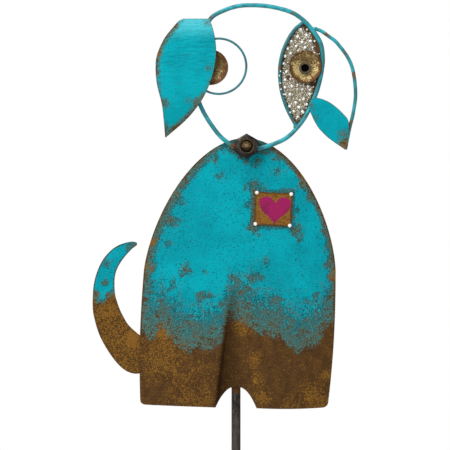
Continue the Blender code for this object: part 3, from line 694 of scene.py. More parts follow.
def bodyFront(x, z):
    side = min(1.0, abs(x - bodyMiddle(z)) / (body["width"] / 2))
    depth = bodyFrontY + body["edgeTurn"] * side ** body["edgeTurnPower"]
    down = grooveDepth(z)
    if down > 0:
        wall = body["leftWall"] if x < 0 else body["rightWall"]
        footOfWall = max(0.0, openingHalfWidth("groove", z) - wall)
        rise = body["legRise"] * smoothStep(down / body["legRamp"])
        depth -= rise * smoothStep((abs(x) - footOfWall) / wall) * (1 - side ** 2)
    return depth


def soleRise(x):
    half = body["width"] / 2
    if x < 0:
        return body["leftSoleRise"] * min(1.0, -x / half) + body["rightSoleSag"] / 2
    return body["rightSoleSag"] * min(1.0, (2 * x / half - body["sagShift"]) ** 2)


patchLow, patchHigh = nodeBox("heart_patch")
paintEnds = [atPixel(*p) for p in body["paintEnds"]]
apexZ, warmZ, leftLowZ, rightTopZ = (atPixel(0, body[row]).y for row in (
    "apexRow", "warmRow", "leftLowRow", "rightTopRow"))


def outsidePatch(x, z):  # distance from the heart patch's edge, for the rust round it
    low, high = patchLow, patchHigh
    return math.hypot(max(low.x - x, x - high.x, 0.0), max(low.z - z, z - high.z, 0.0))


def bodyGrid(side):
    notchZ = feetZ + body["notchHeight"]
    widestZ = bodyTopZ - body["domeHeight"]
    levels = [bodyTopZ - body["domeHeight"] * (k / body["domeRows"]) ** body["domeBunching"]
              for k in range(body["domeRows"])]
    levels += [widestZ + (notchZ - widestZ) * k / body["waistRows"]
               for k in range(body["waistRows"])]
    levels += [notchZ - body["notchHeight"] * k / body["legRows"] for k in range(body["legRows"])]
    levels += [feetZ + body["footCorner"] * share for share in body["footShares"]]
    rows = []
    for z in sorted(set(levels), reverse=True):
        middle = bodyMiddle(z)
        edge = middle + side * bodyHalfWidth(z)
        notch = openingHalfWidth("notch", z)
        seam = side * notch if z < notchZ else middle * (z - notchZ) / (bodyTopZ - notchZ)
        span = abs(edge - seam)
        wall = body["leftWall"] if side < 0 else body["rightWall"]
        least, most = (span * share for share in body["crestShares"])
        crest = min(max(openingHalfWidth("groove", z) - notch, least), most)
        valley = max(body["valleyShare"] * crest, crest - wall)
        stops = [edge - side * (span - crest) * k / body["outerColumns"]
                 for k in range(body["outerColumns"])]
        stops += [seam + side * (crest + (valley - crest) * k / body["wallColumns"])
                  for k in range(body["wallColumns"])]
        stops += [seam + side * valley * (1 - k / body["innerColumns"])
                  for k in range(body["innerColumns"] + 1)]
        share = max(0.0, (notchZ - z) / body["notchHeight"])
        rows.append([Vector((x, z + share * soleRise(x))) for x in stops])
    return rows


def raggedPlace(x, z):  # moved a little by noise, so that spots lose their round form
    shift, size = body["raggedness"], body["raggedSize"]
    return (x + shift * grainAt(Vector((x, 3.0, z)), size),
            z + shift * grainAt(Vector((x, 4.0, z)), size))


def paintLoss(x, z):  # by height over the lowest sound paint
    above = z - levelBetween(x, paintEnds)
    for noiseLayer in ("borderWaves", "borderNoise"):
        above += lumps(*body[noiseLayer])(x, z, 0.0)
    if above > 0:
        return body["lostAtBorder"] * max(0.0, 1 - above / body["fadeHeight"]) ** 1.5
    return body["lostAtBorder"] + body["lostBelow"] * smoothStep(-above / body["lossDepth"])


def rimWear(x, z, distance):
    left = x < bodyMiddle(z)
    if left:
        kind = "leftLow" if z < leftLowZ else "left"
    else:
        kind = "rightTop" if z > rightTopZ else "right"
    wear = edgeWear(distance, *body["rim"][kind])
    if distance < body["bareEdge"]:
        wear = body["bareWear"]
    if z > apexZ:
        least, most = body["apexWear"]
        wear = min(max(wear, least), most)
    return wear


def haloWear(x, z):  # the rust round the heart patch
    uneven = body["haloUneven"] * grainAt(Vector((x, 0.5, z)), body["haloSize"], 2)
    reach = max(body["patchHalo"] * (1 + uneven), body["haloLeast"])
    left = x < patchLow.x + body["haloLeftWidth"]
    amount = body["haloLeft"] if left else body["haloElsewhere"]
    return amount * (1 - smoothStep(outsidePatch(x, z) / reach))


def grooveShade(x, z):  # how much painted shadow the groove gets, and how much of the rust's warmth is left
    half = openingHalfWidth("groove", z)
    if half == 0:
        return 0.0, 1.0
    fromWall = (x + half) / (2 * half)
    deep = smoothStep(grooveDepth(z) / body["shadowDepth"])
    atLeft, atRight, atTop = body["coolBlends"]
    inFloor = smoothStep((x + half) / atLeft) * smoothStep((half - x) / atRight)
    shadow = smoothStep((x + half + body["shadowStart"]) / body["shadowBlend"])
    shade = body["shadowAmount"] * deep ** 0.5 * shadow
    below = smoothStep((warmZ - z) / atTop)
    return (shade * (1 - smoothStep(fromWall / body["shadowReach"])),
            1 - body["coolAmount"] * deep * inFloor * below)


def bodyMarks(x, z, distance):
    spots = body["spotShare"] * spotWear(*raggedPlace(x, z), body["rustSpots"])
    # grooveShade gives the painted shadow in the groove
    grime, warmth = grooveShade(x, z)
    return {"wear": max(paintLoss(x, z), rimWear(x, z, distance), spots, haloWear(x, z)),
            "warm": max(spotWear(x, z, body["warmSpots"]) * warmth, body["leastWarm"]),
            "grime": body["apexShade"] if z > apexZ else grime, "pale": 0.0}


def makeBody(material):
    dents, pits = lumps(*body["dents"]), lumps(*body["pits"])
    grids = [bodyGrid(-1), bodyGrid(1)]
    sheet = buildSheet("bodySheet", grids, bodyFront, bodySheet, bodyMarks,
                       lambda *spot: dents(*spot) + pits(*spot), material)
    layers = sheet.data.attributes
    for vert, worn, warmed in zip(sheet.data.vertices, layers["wear"].data, layers["warm"].data):
        x, y, z = vert.co
        if y > bodyFront(x, z) + body["backShare"] * bodySheet:
            broad = grainAt(Vector((x, 2.0, z)), body["backGrain"])
            wear, warmth = (even + added * broad for even, added in (body["backWear"],
                                                                     body["backWarm"]))
            worn.value = max(paintLoss(x, z), wear)
            warmed.value = warmth
    install(sheet, "turquoise_paint", "body_plate")


# Tail

tail = {
    "height": 0.1455, "sheet": 0.0014, "rootHeight": 0.0605, "sideShift": -0.0001,
    "outer": [(-0.021, 0.842), (-0.060, 0.849), (-0.138, 0.831), (-0.214, 0.786),
              (-0.289, 0.695), (-0.341, 0.559), (-0.356, 0.423), (-0.348, 0.287),
              (-0.289, 0.106), (-0.168, -0.076), (-0.053, -0.151), (0.091, -0.136)],
    "inner": [(-0.019, 0.823), (-0.066, 0.786), (-0.142, 0.695), (-0.185, 0.597),
              (-0.188, 0.469), (-0.166, 0.378), (-0.127, 0.287), (-0.066, 0.197),
              (0.091, 0.068)],
    "paintEnds": [(93, 298), (96, 304), (103, 304), (107, 297), (113, 294)],
    "rustSpots": [(135, 246, 6, 0.50), (130, 249, 5, 0.45), (105, 283, 3, 0.6),
                  (95, 295, 4, 0.7), (109, 298, 4, 0.5), (106, 264, 5, 0.3)],
    "warmSpots": [(134, 340, 11, 1.5), (112, 308, 9, 1.0), (105, 316, 8, 1.0), (118, 355, 9, 0.8)],
    "along": 130, "across": 22,
    "border": (0.003, 0.007, 0.0, 3), "bareBelow": 0.004, "fadeAbove": 0.009,
    "borderWear": (0.45, 0.5, 1.3),     # above the border, at it, and what is added below it
    # shade: painted shade along the rim, by width and amount
    "rim": (0.0022, 0.5), "shade": (0.0016, 0.35), "warm": 0.65,
    "lumps": (0.00012, 0.008, 0.3, 3),
}


def makeTail(material):
    rootZ = feetZ + tail["rootHeight"]
    root = Vector((bodyMiddle(rootZ) - bodyHalfWidth(rootZ) + tail["sideShift"], rootZ))
    outer, inner = (smoothPath([root + tail["height"] * Vector(share) for share in tail[edge]])
                    for edge in ("outer", "inner"))
    grid = sheetGrid(outer, inner, tail["along"], tail["across"])
    border = [atPixel(*p) for p in tail["paintEnds"]]
    uneven = lumps(*tail["border"])
    above, at, below = tail["borderWear"]

    def marks(x, z, distance):
        height = z - levelBetween(x, border) + uneven(x, z, distance)
        low = at + below * smoothStep(-height / tail["bareBelow"])
        if height > 0:
            low = above * (1 - smoothStep(height / tail["fadeAbove"]))
        return wornMarks(tail, x, z, max(low, edgeWear(distance, *tail["rim"])), tail["warm"],
                         edgeWear(distance, *tail["shade"]))

    sheet = buildSheet("tailSheet", [grid], lambda x, z: tailFrontY, tail["sheet"], marks,
                       lumps(*tail["lumps"]), material)
    install(sheet, "turquoise_paint", "tail")


# Head loop and wires, placed by shares of the loop's half width and height

head = {
    "width": 0.1413, "height": 0.1575, "sideShift": 0.0133, "noseToFoot": 0.0022,
    "leftEndRise": 0.0016, "sheet": 0.0012,
    "ring": [(-0.634, 0.103), (-0.877, 0.271), (-0.987, 0.425), (-1.0, 0.54), (-0.975, 0.638),
             (-0.918, 0.735), (-0.833, 0.837), (-0.740, 0.910), (-0.592, 0.953),
             (-0.359, 0.990), (-0.125, 1.0), (0.186, 0.990), (0.497, 0.953), (0.692, 0.897),
             (0.855, 0.817), (0.970, 0.728), (1.0, 0.625), (0.982, 0.540), (0.939, 0.449),
             (0.877, 0.365), (0.735, 0.228), (0.595, 0.142), (0.441, 0.076), (0.256, 0.034)],
    "eyeFrame": [(0.716, 0.889), (0.640, 0.862), (0.567, 0.834), (0.468, 0.770),
                 (0.373, 0.672), (0.326, 0.550), (0.350, 0.410), (0.437, 0.281),
                 (0.583, 0.155)],
    "earWire": [(0.832, 0.842), (0.972, 0.820), (1.090, 0.783), (1.237, 0.728),
                (1.439, 0.589), (1.509, 0.400), (1.475, 0.253), (1.417, 0.142),
                (1.350, -0.008)],
    "leafUpper": [(0.805, 0.339), (0.925, 0.351), (1.112, 0.318), (1.299, 0.248),
                  (1.405, 0.170), (1.352, -0.010)],
    "leafLower": [(0.795, 0.316), (0.798, 0.260), (0.891, 0.170), (0.986, 0.114),
                  (1.125, 0.058), (1.330, -0.005)],
    "earOuter": [(-1.168, 0.904), (-1.238, 0.889), (-1.308, 0.855), (-1.475, 0.756),
                 (-1.581, 0.645), (-1.601, 0.561), (-1.582, 0.449), (-1.506, 0.309),
                 (-1.476, 0.198), (-1.454, 0.074)],
    "earInner": [(-0.791, 0.904), (-0.735, 0.868), (-0.673, 0.756), (-0.662, 0.645),
                 (-0.701, 0.533), (-0.784, 0.421), (-0.919, 0.309), (-1.125, 0.198),
                 (-1.437, 0.077)],
    "eyeRing": (-0.622, 0.572), "eyeRingRadius": 0.0304,
    "frameWire": 0.0018, "earWireRadius": 0.0020, "eyeWire": 0.00125, "earBulge": 0.0052,
}
headX = nutMiddle.x + head["sideShift"]
headFootZ = nutMiddle.z - head["noseToFoot"]
leafBackY = ringY - ringRadius - gap


def onHead(share):
    return Vector((headX + share[0] * head["width"] / 2, headFootZ + share[1] * head["height"]))


def headPath(key):
    return smoothPath([onHead(share) for share in head[key]])


def ringPath():
    flat = (nutHigh.x - nutLow.x) / 2 + gap
    lead = Vector((ringRadius, 0.0))
    start = Vector((nutMiddle.x - flat, headFootZ + head["leftEndRise"]))
    end = Vector((nutMiddle.x + flat, headFootZ))
    bends = [onHead(share) for share in head["ring"]]
    return [start, *smoothPath([start - lead, *bends, end + lead]), end]


wireWear = {  # column, row, radius and amount in the photo
    "headLoop": [(232, 146, 3, 0.6), (210, 19, 3, 0.6), (292, 12, 3, 0.55), (296, 128, 4, 0.35),
                 (314, 27, 4, 0.5), (322, 75, 5, 0.35)],
    "eyeFrameWire": [(284, 54, 4, 0.40), (280, 68, 4, 0.45), (280, 84, 5, 0.45),
                     (295, 122, 5, 0.4), (283, 100, 4, 0.35)],
    "earWire": [(327, 34, 4, 0.55), (347, 54, 4, 0.5), (354, 74, 5, 0.6), (350, 127, 7, 0.55),
                (346, 144, 6, 0.7)],
    "eyeLoopLeft": [(214, 39, 5, 0.6), (209, 92, 5, 0.6), (246, 66, 5, 0.3)],
}
# where the wires' paint is greyer in the photo, listed in the same way
dullSpots = [(321, 60, 14, 0.9), (319, 84, 12, 0.7), (314, 100, 8, 0.6), (283, 48, 14, 0.7),
             (279, 70, 14, 0.8), (284, 100, 14, 0.6), (208, 100, 10, 0.5), (353, 90, 14, 0.6),
             (351, 118, 12, 0.6)]
wire = {
    "step": 0.0012, "sides": 20, "closedSides": 14, "circleSteps": 180, "crease": 50,
    "lump": 0.035, "lumpSize": 0.004, "mostLump": 1.02,
    "endShare": 0.80, "endLength": 0.18,    # of the radius, where a cut end is rounded off
    "clearOfLoop": 0.9,                     # of the loop's radius, where a wire meets it
}


def buildWire(name, path, radius, material, closed=False):
    sides = wire["closedSides"] if closed else wire["sides"]
    points = spreadEvenly(path, round(runLengths(path)[-1] / wire["step"]))
    if closed:
        points = points[:-1]
    bm = bmesh.new()
    wear = bm.verts.layers.float.new("wear")
    dull = bm.verts.layers.float.new("dull")
    rings = []

    def addRing(centre, along, size):
        across = along.cross(Vector((0.0, 1.0, 0.0))).normalized()
        other = along.cross(across).normalized()
        ring = []
        for k in range(sides):
            out = math.cos(turn(k, sides)) * across + math.sin(turn(k, sides)) * other
            lump = 1 + wire["lump"] * grainAt(centre + out * radius, wire["lumpSize"], 2)
            vert = bm.verts.new(centre + out * size * min(lump, wire["mostLump"]))
            vert[wear] = spotWear(centre.x, centre.z, wireWear[name])
            vert[dull] = spotWear(centre.x, centre.z, dullSpots)
            ring.append(vert)
        rings.append(ring)

    total = len(points)
    for k, p in enumerate(points):
        before = points[k - 1] if closed or k else p
        after = points[(k + 1) % total] if closed or k < total - 1 else p
        along = (after - before).normalized()
        inwards = along * radius * wire["endLength"]
        if not closed and k == 0:
            addRing(p, along, radius * wire["endShare"])
            addRing(p + inwards, along, radius)
        elif not closed and k == total - 1:
            addRing(p - inwards, along, radius)
            addRing(p, along, radius * wire["endShare"])
        else:
            addRing(p, along, radius)
    if closed:
        bridge(bm, rings, True)
    else:
        closeTube(bm, rings)
    bmesh.ops.recalc_face_normals(bm, faces=bm.faces)
    return newPiece(name, bm, material, wire["crease"])


def makeWires(material, thinMaterial):
    ring = lift(ringPath(), ringY)

    def clearOfLoop(path):
        least = ringRadius * wire["clearOfLoop"]
        return [p for p in path if min((p - q).length for q in ring[::3]) > least]

    eye, reach = onHead(head["eyeRing"]), head["eyeRingRadius"]
    eyeY = ringY - ringRadius - gap - head["eyeWire"]
    angles = [turn(k, wire["circleSteps"]) for k in range(wire["circleSteps"] + 1)]
    loop = [Vector((eye.x + reach * math.cos(a), eyeY, eye.y + reach * math.sin(a)))
            for a in angles]
    arc = clearOfLoop(lift(headPath("eyeFrame"), ringY))
    bow = clearOfLoop(lift(headPath("earWire"), ringY, leafBackY + gap + head["earWireRadius"]))
    for name, path, radius, coat, node in (
            ("headLoop", ring, ringRadius, material, "head_ring"),
            ("eyeLoopLeft", loop, head["eyeWire"], thinMaterial, "eye_ring_left"),
            ("eyeFrameWire", arc, head["frameWire"], thinMaterial, "eye_frame_right"),
            ("earWire", bow, head["earWireRadius"], material, "ear_wire_right")):
        install(buildWire(name, path, radius, coat, path is loop), "wire_paint", node)


# Ears

ear = {
    "along": 118, "across": 46,
    "turnedShare": 0.16, "turnPower": 0.6,      # of the ear's height, where its top turns back
    "easeFrom": 0.68, "easeAmount": 0.75,       # where its tip comes back towards the loop
    "rim": (0.0012, 0.62), "wornRim": (0.0072, 0.75),
    # the top rows get a painted highlight, as they turn back towards the light, and the lower rows
    # painted shade
    "pale": 0.44, "highlightRows": 24, "shade": 0.16, "shadeRow": 60, "rippleRow": 35, "fadeRows": 40,
    "warm": 0.2, "dents": (0.00010, 0.010, 0.6, 2), "waves": (0.00020, 0.0036, 0.6, 2),
    "waveStretch": 0.35,
    "rimSpots": [(176, 28, 9, 1.0), (171, 36, 8, 1.1), (166, 44, 9, 1.1), (162, 52, 9, 1.2),
                 (157, 62, 9, 1.3), (156, 72, 8, 1.1), (159, 84, 9, 0.6), (163, 103, 8, 0.9),
                 (208, 70, 4, 0.5), (206, 86, 8, 0.5), (199, 98, 8, 1.2), (192, 107, 8, 1.1),
                 (188, 114, 9, 1.0), (181, 121, 8, 1.1), (174, 128, 9, 1.0), (166, 133, 7, 0.9),
                 (206, 24, 5, 0.6)],
    "rustSpots": [(172, 30, 5, 0.40), (157, 58, 4, 0.60), (164, 104, 5, 0.50),
                  (198, 103, 5, 0.70), (188, 100, 5, 0.2), (208, 69, 4, 0.34),
                  (208, 23, 4, 0.4), (167, 132, 5, 0.4)],
    "warmSpots": [(158, 56, 8, 0.8), (199, 102, 8, 0.8), (160, 48, 6, 0.9)],
}
leaf = {
    "along": 70, "across": 34, "rim": (0.0012, 0.5), "warm": 0.2,
    "lumps": (0.00008, 0.006, 0.9, 3),
    "rustSpots": [(346, 144, 6, 1.1), (340, 142, 5, 0.45), (311, 107, 5, 0.30),
                  (315, 118, 4, 0.35), (343, 134, 6, 0.40)],
    "warmSpots": [(344, 145, 8, 1.0), (341, 136, 6, 0.6)],
}


def makeEar(material):
    grid = sheetGrid(headPath("earOuter"), headPath("earInner"), ear["along"], ear["across"])
    topZ = onHead(head["earOuter"][0]).y
    tipZ = onHead(head["earOuter"][-1]).y
    forward = max(head["earBulge"], 2 * head["eyeWire"] + 3 * gap)
    dents, waves = lumps(*ear["dents"]), lumps(*ear["waves"])

    def front(x, z):
        down = (topZ - z) / (topZ - tipZ)
        rise = smoothStep(down / ear["turnedShare"]) ** ear["turnPower"]
        ease = smoothStep((down - ear["easeFrom"]) / (1 - ear["easeFrom"]))
        return leafBackY - head["sheet"] - forward * rise * (1 - ear["easeAmount"] * ease)

    def marks(x, z, distance):
        row = (topZ - z) / pixel
        worn = min(1.0, spotWear(x, z, ear["rimSpots"]))
        rim = max(edgeWear(distance, *ear["rim"]), edgeWear(distance, *ear["wornRim"]) * worn)
        # painted shade on the lower rows, and a painted highlight on the top rows
        shade = ear["shade"] * smoothStep((row - ear["shadeRow"]) / ear["fadeRows"])
        pale = ear["pale"] * (1 - smoothStep(row / ear["highlightRows"]))
        ripple = 1 - 0.8 * smoothStep((row - ear["rippleRow"]) / ear["fadeRows"])
        return {**wornMarks(ear, x, z, rim, ear["warm"], shade, pale), "ripple": ripple}

    def relief(x, z, distance):
        return dents(x, z, distance) + waves(x * ear["waveStretch"], z, distance)

    sheet = buildSheet("earSheet", [grid], front, head["sheet"], marks, relief, material)
    install(sheet, "turquoise_paint", "ear_left")


def makeLeaf(material):
    grid = sheetGrid(headPath("leafUpper"), headPath("leafLower"), leaf["along"], leaf["across"])

    def marks(x, z, distance):
        return wornMarks(leaf, x, z, edgeWear(distance, *leaf["rim"]), leaf["warm"])

    sheet = buildSheet("leafSheet", [grid], lambda x, z: leafBackY - head["sheet"],
                       head["sheet"], marks, lumps(*leaf["lumps"]), material)
    install(sheet, "turquoise_paint", "ear_leaf_right")


# Turned pieces: eye cups, pupils, nose bolt and studs

def turnedPiece(name, profile, centre, sides, material, wobble=0.0):
    # profile: (radius, y) places; a ring where it starts and ends off the axis
    bm = bmesh.new()
    across = bm.verts.layers.float.new("across")
    widest = max(radius for radius, y in profile)
    rings = []
    for radius, y in profile:
        ring = []
        for k in range(sides if radius else 1):
            side, up = math.cos(turn(k, sides)), math.sin(turn(k, sides))
            place = Vector((centre.x + radius * side, y, centre.y + radius * up))
            if radius:
                place.y += wobble * grainAt(Vector((3 * side, radius / widest, 3 * up)), 0.8)
            vert = bm.verts.new(place)
            vert[across] = radius / widest
            ring.append(vert)
        rings.append(ring)
    bridge(bm, rings, len(rings[0]) > 1 and len(rings[-1]) > 1)
    bmesh.ops.recalc_face_normals(bm, faces=bm.faces)
    return newPiece(name, bm, material)


def roundNode(node):  # the middle (x, z), radius, front and back of a round solid
    low, high = nodeBox(node)
    middle = Vector(((low.x + high.x) / 2, (low.z + high.z) / 2))
    return middle, (high.x - low.x) / 2, low.y, high.y


cup = {
    "lip": 0.0009, "lipSteps": 8, "baseRadius": 0.0050, "sides": 96, "rings": 22,
    "hammered": 0.00014,
}
pupil = {
    "wall": 0.0024, "sides": 48, "rounding": 0.0005,
    "wellShare": 1.02, "wellRim": 0.0012, "wellCrown": 0.0015, "wellSides": 32,
}


def makeEye(side, pupilMaterial, shadowMaterial):
    centre, radius, face, seat = roundNode("eye_cup_" + side)
    depth = seat - face - head["sheet"]
    edge = radius - cup["lip"] / 2
    half = head["sheet"] / 2

    def back(r):
        rise = max(0.0, r - cup["baseRadius"]) / (radius - cup["baseRadius"])
        return seat - depth * rise ** 2

    radii = [edge * k / cup["rings"] for k in range(1, cup["rings"] + 1)]
    under = [(r, back(r)) for r in radii]
    over = [(r, back(r) - head["sheet"]) for r in reversed(radii)]
    angles = [math.pi * k / cup["lipSteps"] for k in range(1, cup["lipSteps"])]
    lip = [(edge + cup["lip"] / 2 * math.sin(a), back(edge) - half + half * math.cos(a))
           for a in angles]
    profile = [(0.0, seat), *under, *lip, *over, (0.0, seat - head["sheet"])]
    material = agedBrass("eyeBrass_" + side, (centre.x, seat, centre.y), side)
    dish = turnedPiece("eyeCup_" + side, profile, centre, cup["sides"], material,
                       cup["hammered"])
    install(dish, "aged_brass", "eye_cup_" + side)

    middle, outer, top, base = roundNode("eye_pupil_" + side)
    inner, r = outer - pupil["wall"], pupil["rounding"]
    profile = [(inner, base), (outer, base), (outer, top + r), (outer - r, top),
               (inner + r, top), (inner, top + r)]
    tube = turnedPiece("eyePupil_" + side, profile, middle, pupil["sides"], pupilMaterial)
    install(tube, "dark_steel", "eye_pupil_" + side)
    # a near-black disc at the foot of the pupil's hole, as painted shadow in the hole
    reach = inner * pupil["wellShare"]
    profile = [(0.0, base), (reach, base), (reach, base - pupil["wellRim"]),
               (0.0, base - pupil["wellCrown"])]
    shadowDisc = turnedPiece("eyePupilShadowDisc_" + side, profile, middle, pupil["wellSides"], shadowMaterial)
    install(shadowDisc, "dark_steel")


nose = {
    "chamfer": 0.0016, "chamferSlope": 1.1, "skin": 0.00002, "barrelSides": 96,
    "holeRadius": 0.0068, "mouth": 0.0011, "mouthDepth": 0.0003, "firstThread": 0.0009,
    "threads": 5, "threadDepth": 0.0006, "threadMargin": 0.001, "past": 0.002, "boreSides": 64,
    "rim": 0.0004, "rimAngle": 28, "blankCrease": 25, "crease": 35,
    "crownDepth": 0.0040, "crownSteps": 28, "nubSlope": 0.0007, "boltWobble": 0.00006,
}


def makeNut(material):
    centre, half, face, back = roundNode("nose_nut")
    corner = half * 2 / math.sqrt(3)
    bm = bmesh.new()
    bmesh.ops.create_cone(bm, cap_ends=True, segments=6, radius1=corner, radius2=corner,
                          depth=back - face)
    for vert in bm.verts:
        x, y, z = vert.co
        vert.co = (centre.x + x, (back + face) / 2 + z, centre.y + y)
    bmesh.ops.recalc_face_normals(bm, faces=bm.faces)
    nut = newPiece("noseNut", bm, material, nose["blankCrease"])
    chamfer, hole, past = nose["chamfer"], nose["holeRadius"], nose["past"]
    slope = (corner - half) * nose["chamferSlope"]
    over = corner + chamfer
    front = face + nose["skin"]
    barrel = turnedPiece("nutBarrel", [(0.0, back + chamfer), (over, back + chamfer),
                                       (over, face + chamfer), (half - slope, front),
                                       (0.0, front)], centre, nose["barrelSides"], material)
    mouth = hole + nose["mouth"]
    thread = [(mouth, face - past), (mouth, face + nose["mouthDepth"])]
    pitch = (back - face - nose["threadMargin"]) / nose["threads"]
    for k in range(nose["threads"]):
        start = face + nose["firstThread"] + k * pitch
        thread += [(hole, start), (hole + nose["threadDepth"], start + pitch / 2)]
    bore = turnedPiece("nutBore", [(0.0, face - past), *thread, (hole, back + past),
                                   (0.0, back + past)], centre, nose["boreSides"], material)
    for cutter, operation in ((barrel, "INTERSECT"), (bore, "DIFFERENCE")):
        cut = nut.modifiers.new(cutter.name, "BOOLEAN")
        cut.operation, cut.object, cut.solver = operation, cutter, "EXACT"
    roundModifier(nut, nose["rim"], nose["rimAngle"])
    plainMesh(nut)
    for cutter in (barrel, bore):
        bpy.data.objects.remove(cutter)
    nut.data.shade_smooth()
    sharpen(nut, nose["crease"])
    install(nut, "dark_steel", "nose_nut")


def makeBolt(material):
    radius, face, back = roundNode("nose_bolt")[1:]
    crown = []
    for k in range(nose["crownSteps"]):
        a = math.pi / 2 * k / nose["crownSteps"]
        out = radius * math.cos(a)
        nub = boltTones["nubRise"] * smoothStep((boltTones["nubRadius"] - out) / nose["nubSlope"])
        crown.append((out, face + nose["crownDepth"] * (1 - math.sin(a)) - nub))
    profile = [(0.0, back), (radius, back), *crown, (0.0, face - boltTones["nubRise"])]
    bolt = turnedPiece("noseBolt", profile, Vector((nutMiddle.x, nutMiddle.z)),
                       nose["boreSides"], material, nose["boltWobble"])
    install(bolt, "aged_brass", "nose_bolt")


stud = {"steps": 10, "sides": 36}


def makeStuds(material):
    for number in range(1, 5):
        node = "patch_stud_%d" % number
        centre, radius, face, back = roundNode(node)
        angles = [math.pi / 2 * k / stud["steps"] for k in range(stud["steps"])]
        dome = [(radius * math.cos(a), back - (back - face) * math.sin(a)) for a in angles]
        made = turnedPiece("patchStud%d" % number, [(0.0, back), *dome, (0.0, face)], centre,
                           stud["sides"], material)
        install(made, "white_studs", node)


# Stake

stake = {
    "sides": 40, "step": 0.004, "chamfer": 0.0006, "lump": 0.012, "lumpSize": 0.006,
    "rustRow": 399, "rustBlend": 0.012, "rust": 0.9,
}


def makeStake(material):
    radius = (stakeHigh.x - stakeLow.x) / 2
    top = stakeHigh.z
    chamfer = stake["chamfer"]
    bm = bmesh.new()
    wear = bm.verts.layers.float.new("wear")
    count = round(top / stake["step"])
    levels = [(0.0, radius - chamfer), (chamfer, radius)]
    levels += [(top * k / count, radius) for k in range(1, count)]
    levels += [(top - chamfer, radius), (top, radius - chamfer)]
    rustFrom = atPixel(0, stake["rustRow"]).y
    rings = []
    for z, size in levels:
        ring = []
        for k in range(stake["sides"]):
            a = turn(k, stake["sides"])
            out = Vector((math.cos(a), math.sin(a), 0.0))
            level = Vector((0.0, 0.0, z))
            lump = 1 - stake["lump"] * abs(grainAt(out * radius + level, stake["lumpSize"], 2))
            vert = bm.verts.new(out * size * lump + level)
            vert[wear] = stake["rust"] * smoothStep((z - rustFrom) / stake["rustBlend"])
            ring.append(vert)
        rings.append(ring)
    closeTube(bm, rings)
    bmesh.ops.recalc_face_normals(bm, faces=bm.faces)
    install(newPiece("stakeRod", bm, material), "dark_steel", "stake_rod")


# Geometry Nodes: beads and glass grit

def beadTree(name, scattered, material):
    tree = bpy.data.node_groups.new(name, "GeometryNodeTree")
    identifiers = {}
    for label, kind in (("Geometry", "Geometry"), ("Smallest", "Float"), ("Largest", "Float"),
                        ("Spacing", "Float"), ("Seed", "Int")):
        socket = tree.interface.new_socket(label, in_out="INPUT", socket_type="NodeSocket" + kind)
        identifiers[label] = socket.identifier
    tree.interface.new_socket("Geometry", in_out="OUTPUT", socket_type="NodeSocketGeometry")

    def node(kind, **values):
        made = tree.nodes.new(kind)
        for socket, value in values.items():
            made.inputs[socket.replace("_", " ")].default_value = value
        return made

    given = node("NodeGroupInput")
    result = node("NodeGroupOutput")
    bead = node("GeometryNodeMeshIcoSphere", Radius=1.0, Subdivisions=1 if scattered else 4)
    place = node("GeometryNodeInstanceOnPoints")
    size = node("FunctionNodeRandomValue")
    size.data_type = "FLOAT"
    real = node("GeometryNodeRealizeInstances")
    smooth = node("GeometryNodeSetShadeSmooth", Shade_Smooth=not scattered)
    coat = node("GeometryNodeSetMaterial", Material=material)
    links = [(given, "Smallest", size, 2), (given, "Largest", size, 3),
             (given, "Seed", size, "Seed"), (bead, "Mesh", place, "Instance"),
             (size, 1, place, "Scale"), (place, "Instances", real, "Geometry"),
             (real, "Geometry", smooth, "Geometry"), (smooth, "Geometry", coat, "Geometry"),
             (coat, "Geometry", result, "Geometry")]
    if scattered:
        scatter = node("GeometryNodeDistributePointsOnFaces")
        scatter.distribute_method = "POISSON"
        scatter.inputs["Density Max"].default_value = eyePanel["mostPerSquareMetre"]
        links += [(given, "Geometry", scatter, "Mesh"), (given, "Spacing", scatter, "Distance Min"),
                  (given, "Seed", scatter, "Seed"), (scatter, "Points", place, "Points")]
    else:
        links.append((given, "Geometry", place, "Points"))
    for source, output, target, socket in links:
        tree.links.new(source.outputs[output], target.inputs[socket])
    return tree, identifiers


def growBeads(name, bm, scattered, material, smallest, largest, seed, spacing=0.0):
    piece = newPiece(name, bm, material)
    tree, identifiers = beadTree(name + "Tree", scattered, material)
    grow = piece.modifiers.new("beads", "NODES")
    grow.node_group = tree
    for key, value in (("Smallest", smallest), ("Largest", largest), ("Spacing", spacing),
                       ("Seed", seed)):
        grow[identifiers[key]] = value
    plainMesh(piece)
    install(piece, "glass_beads")


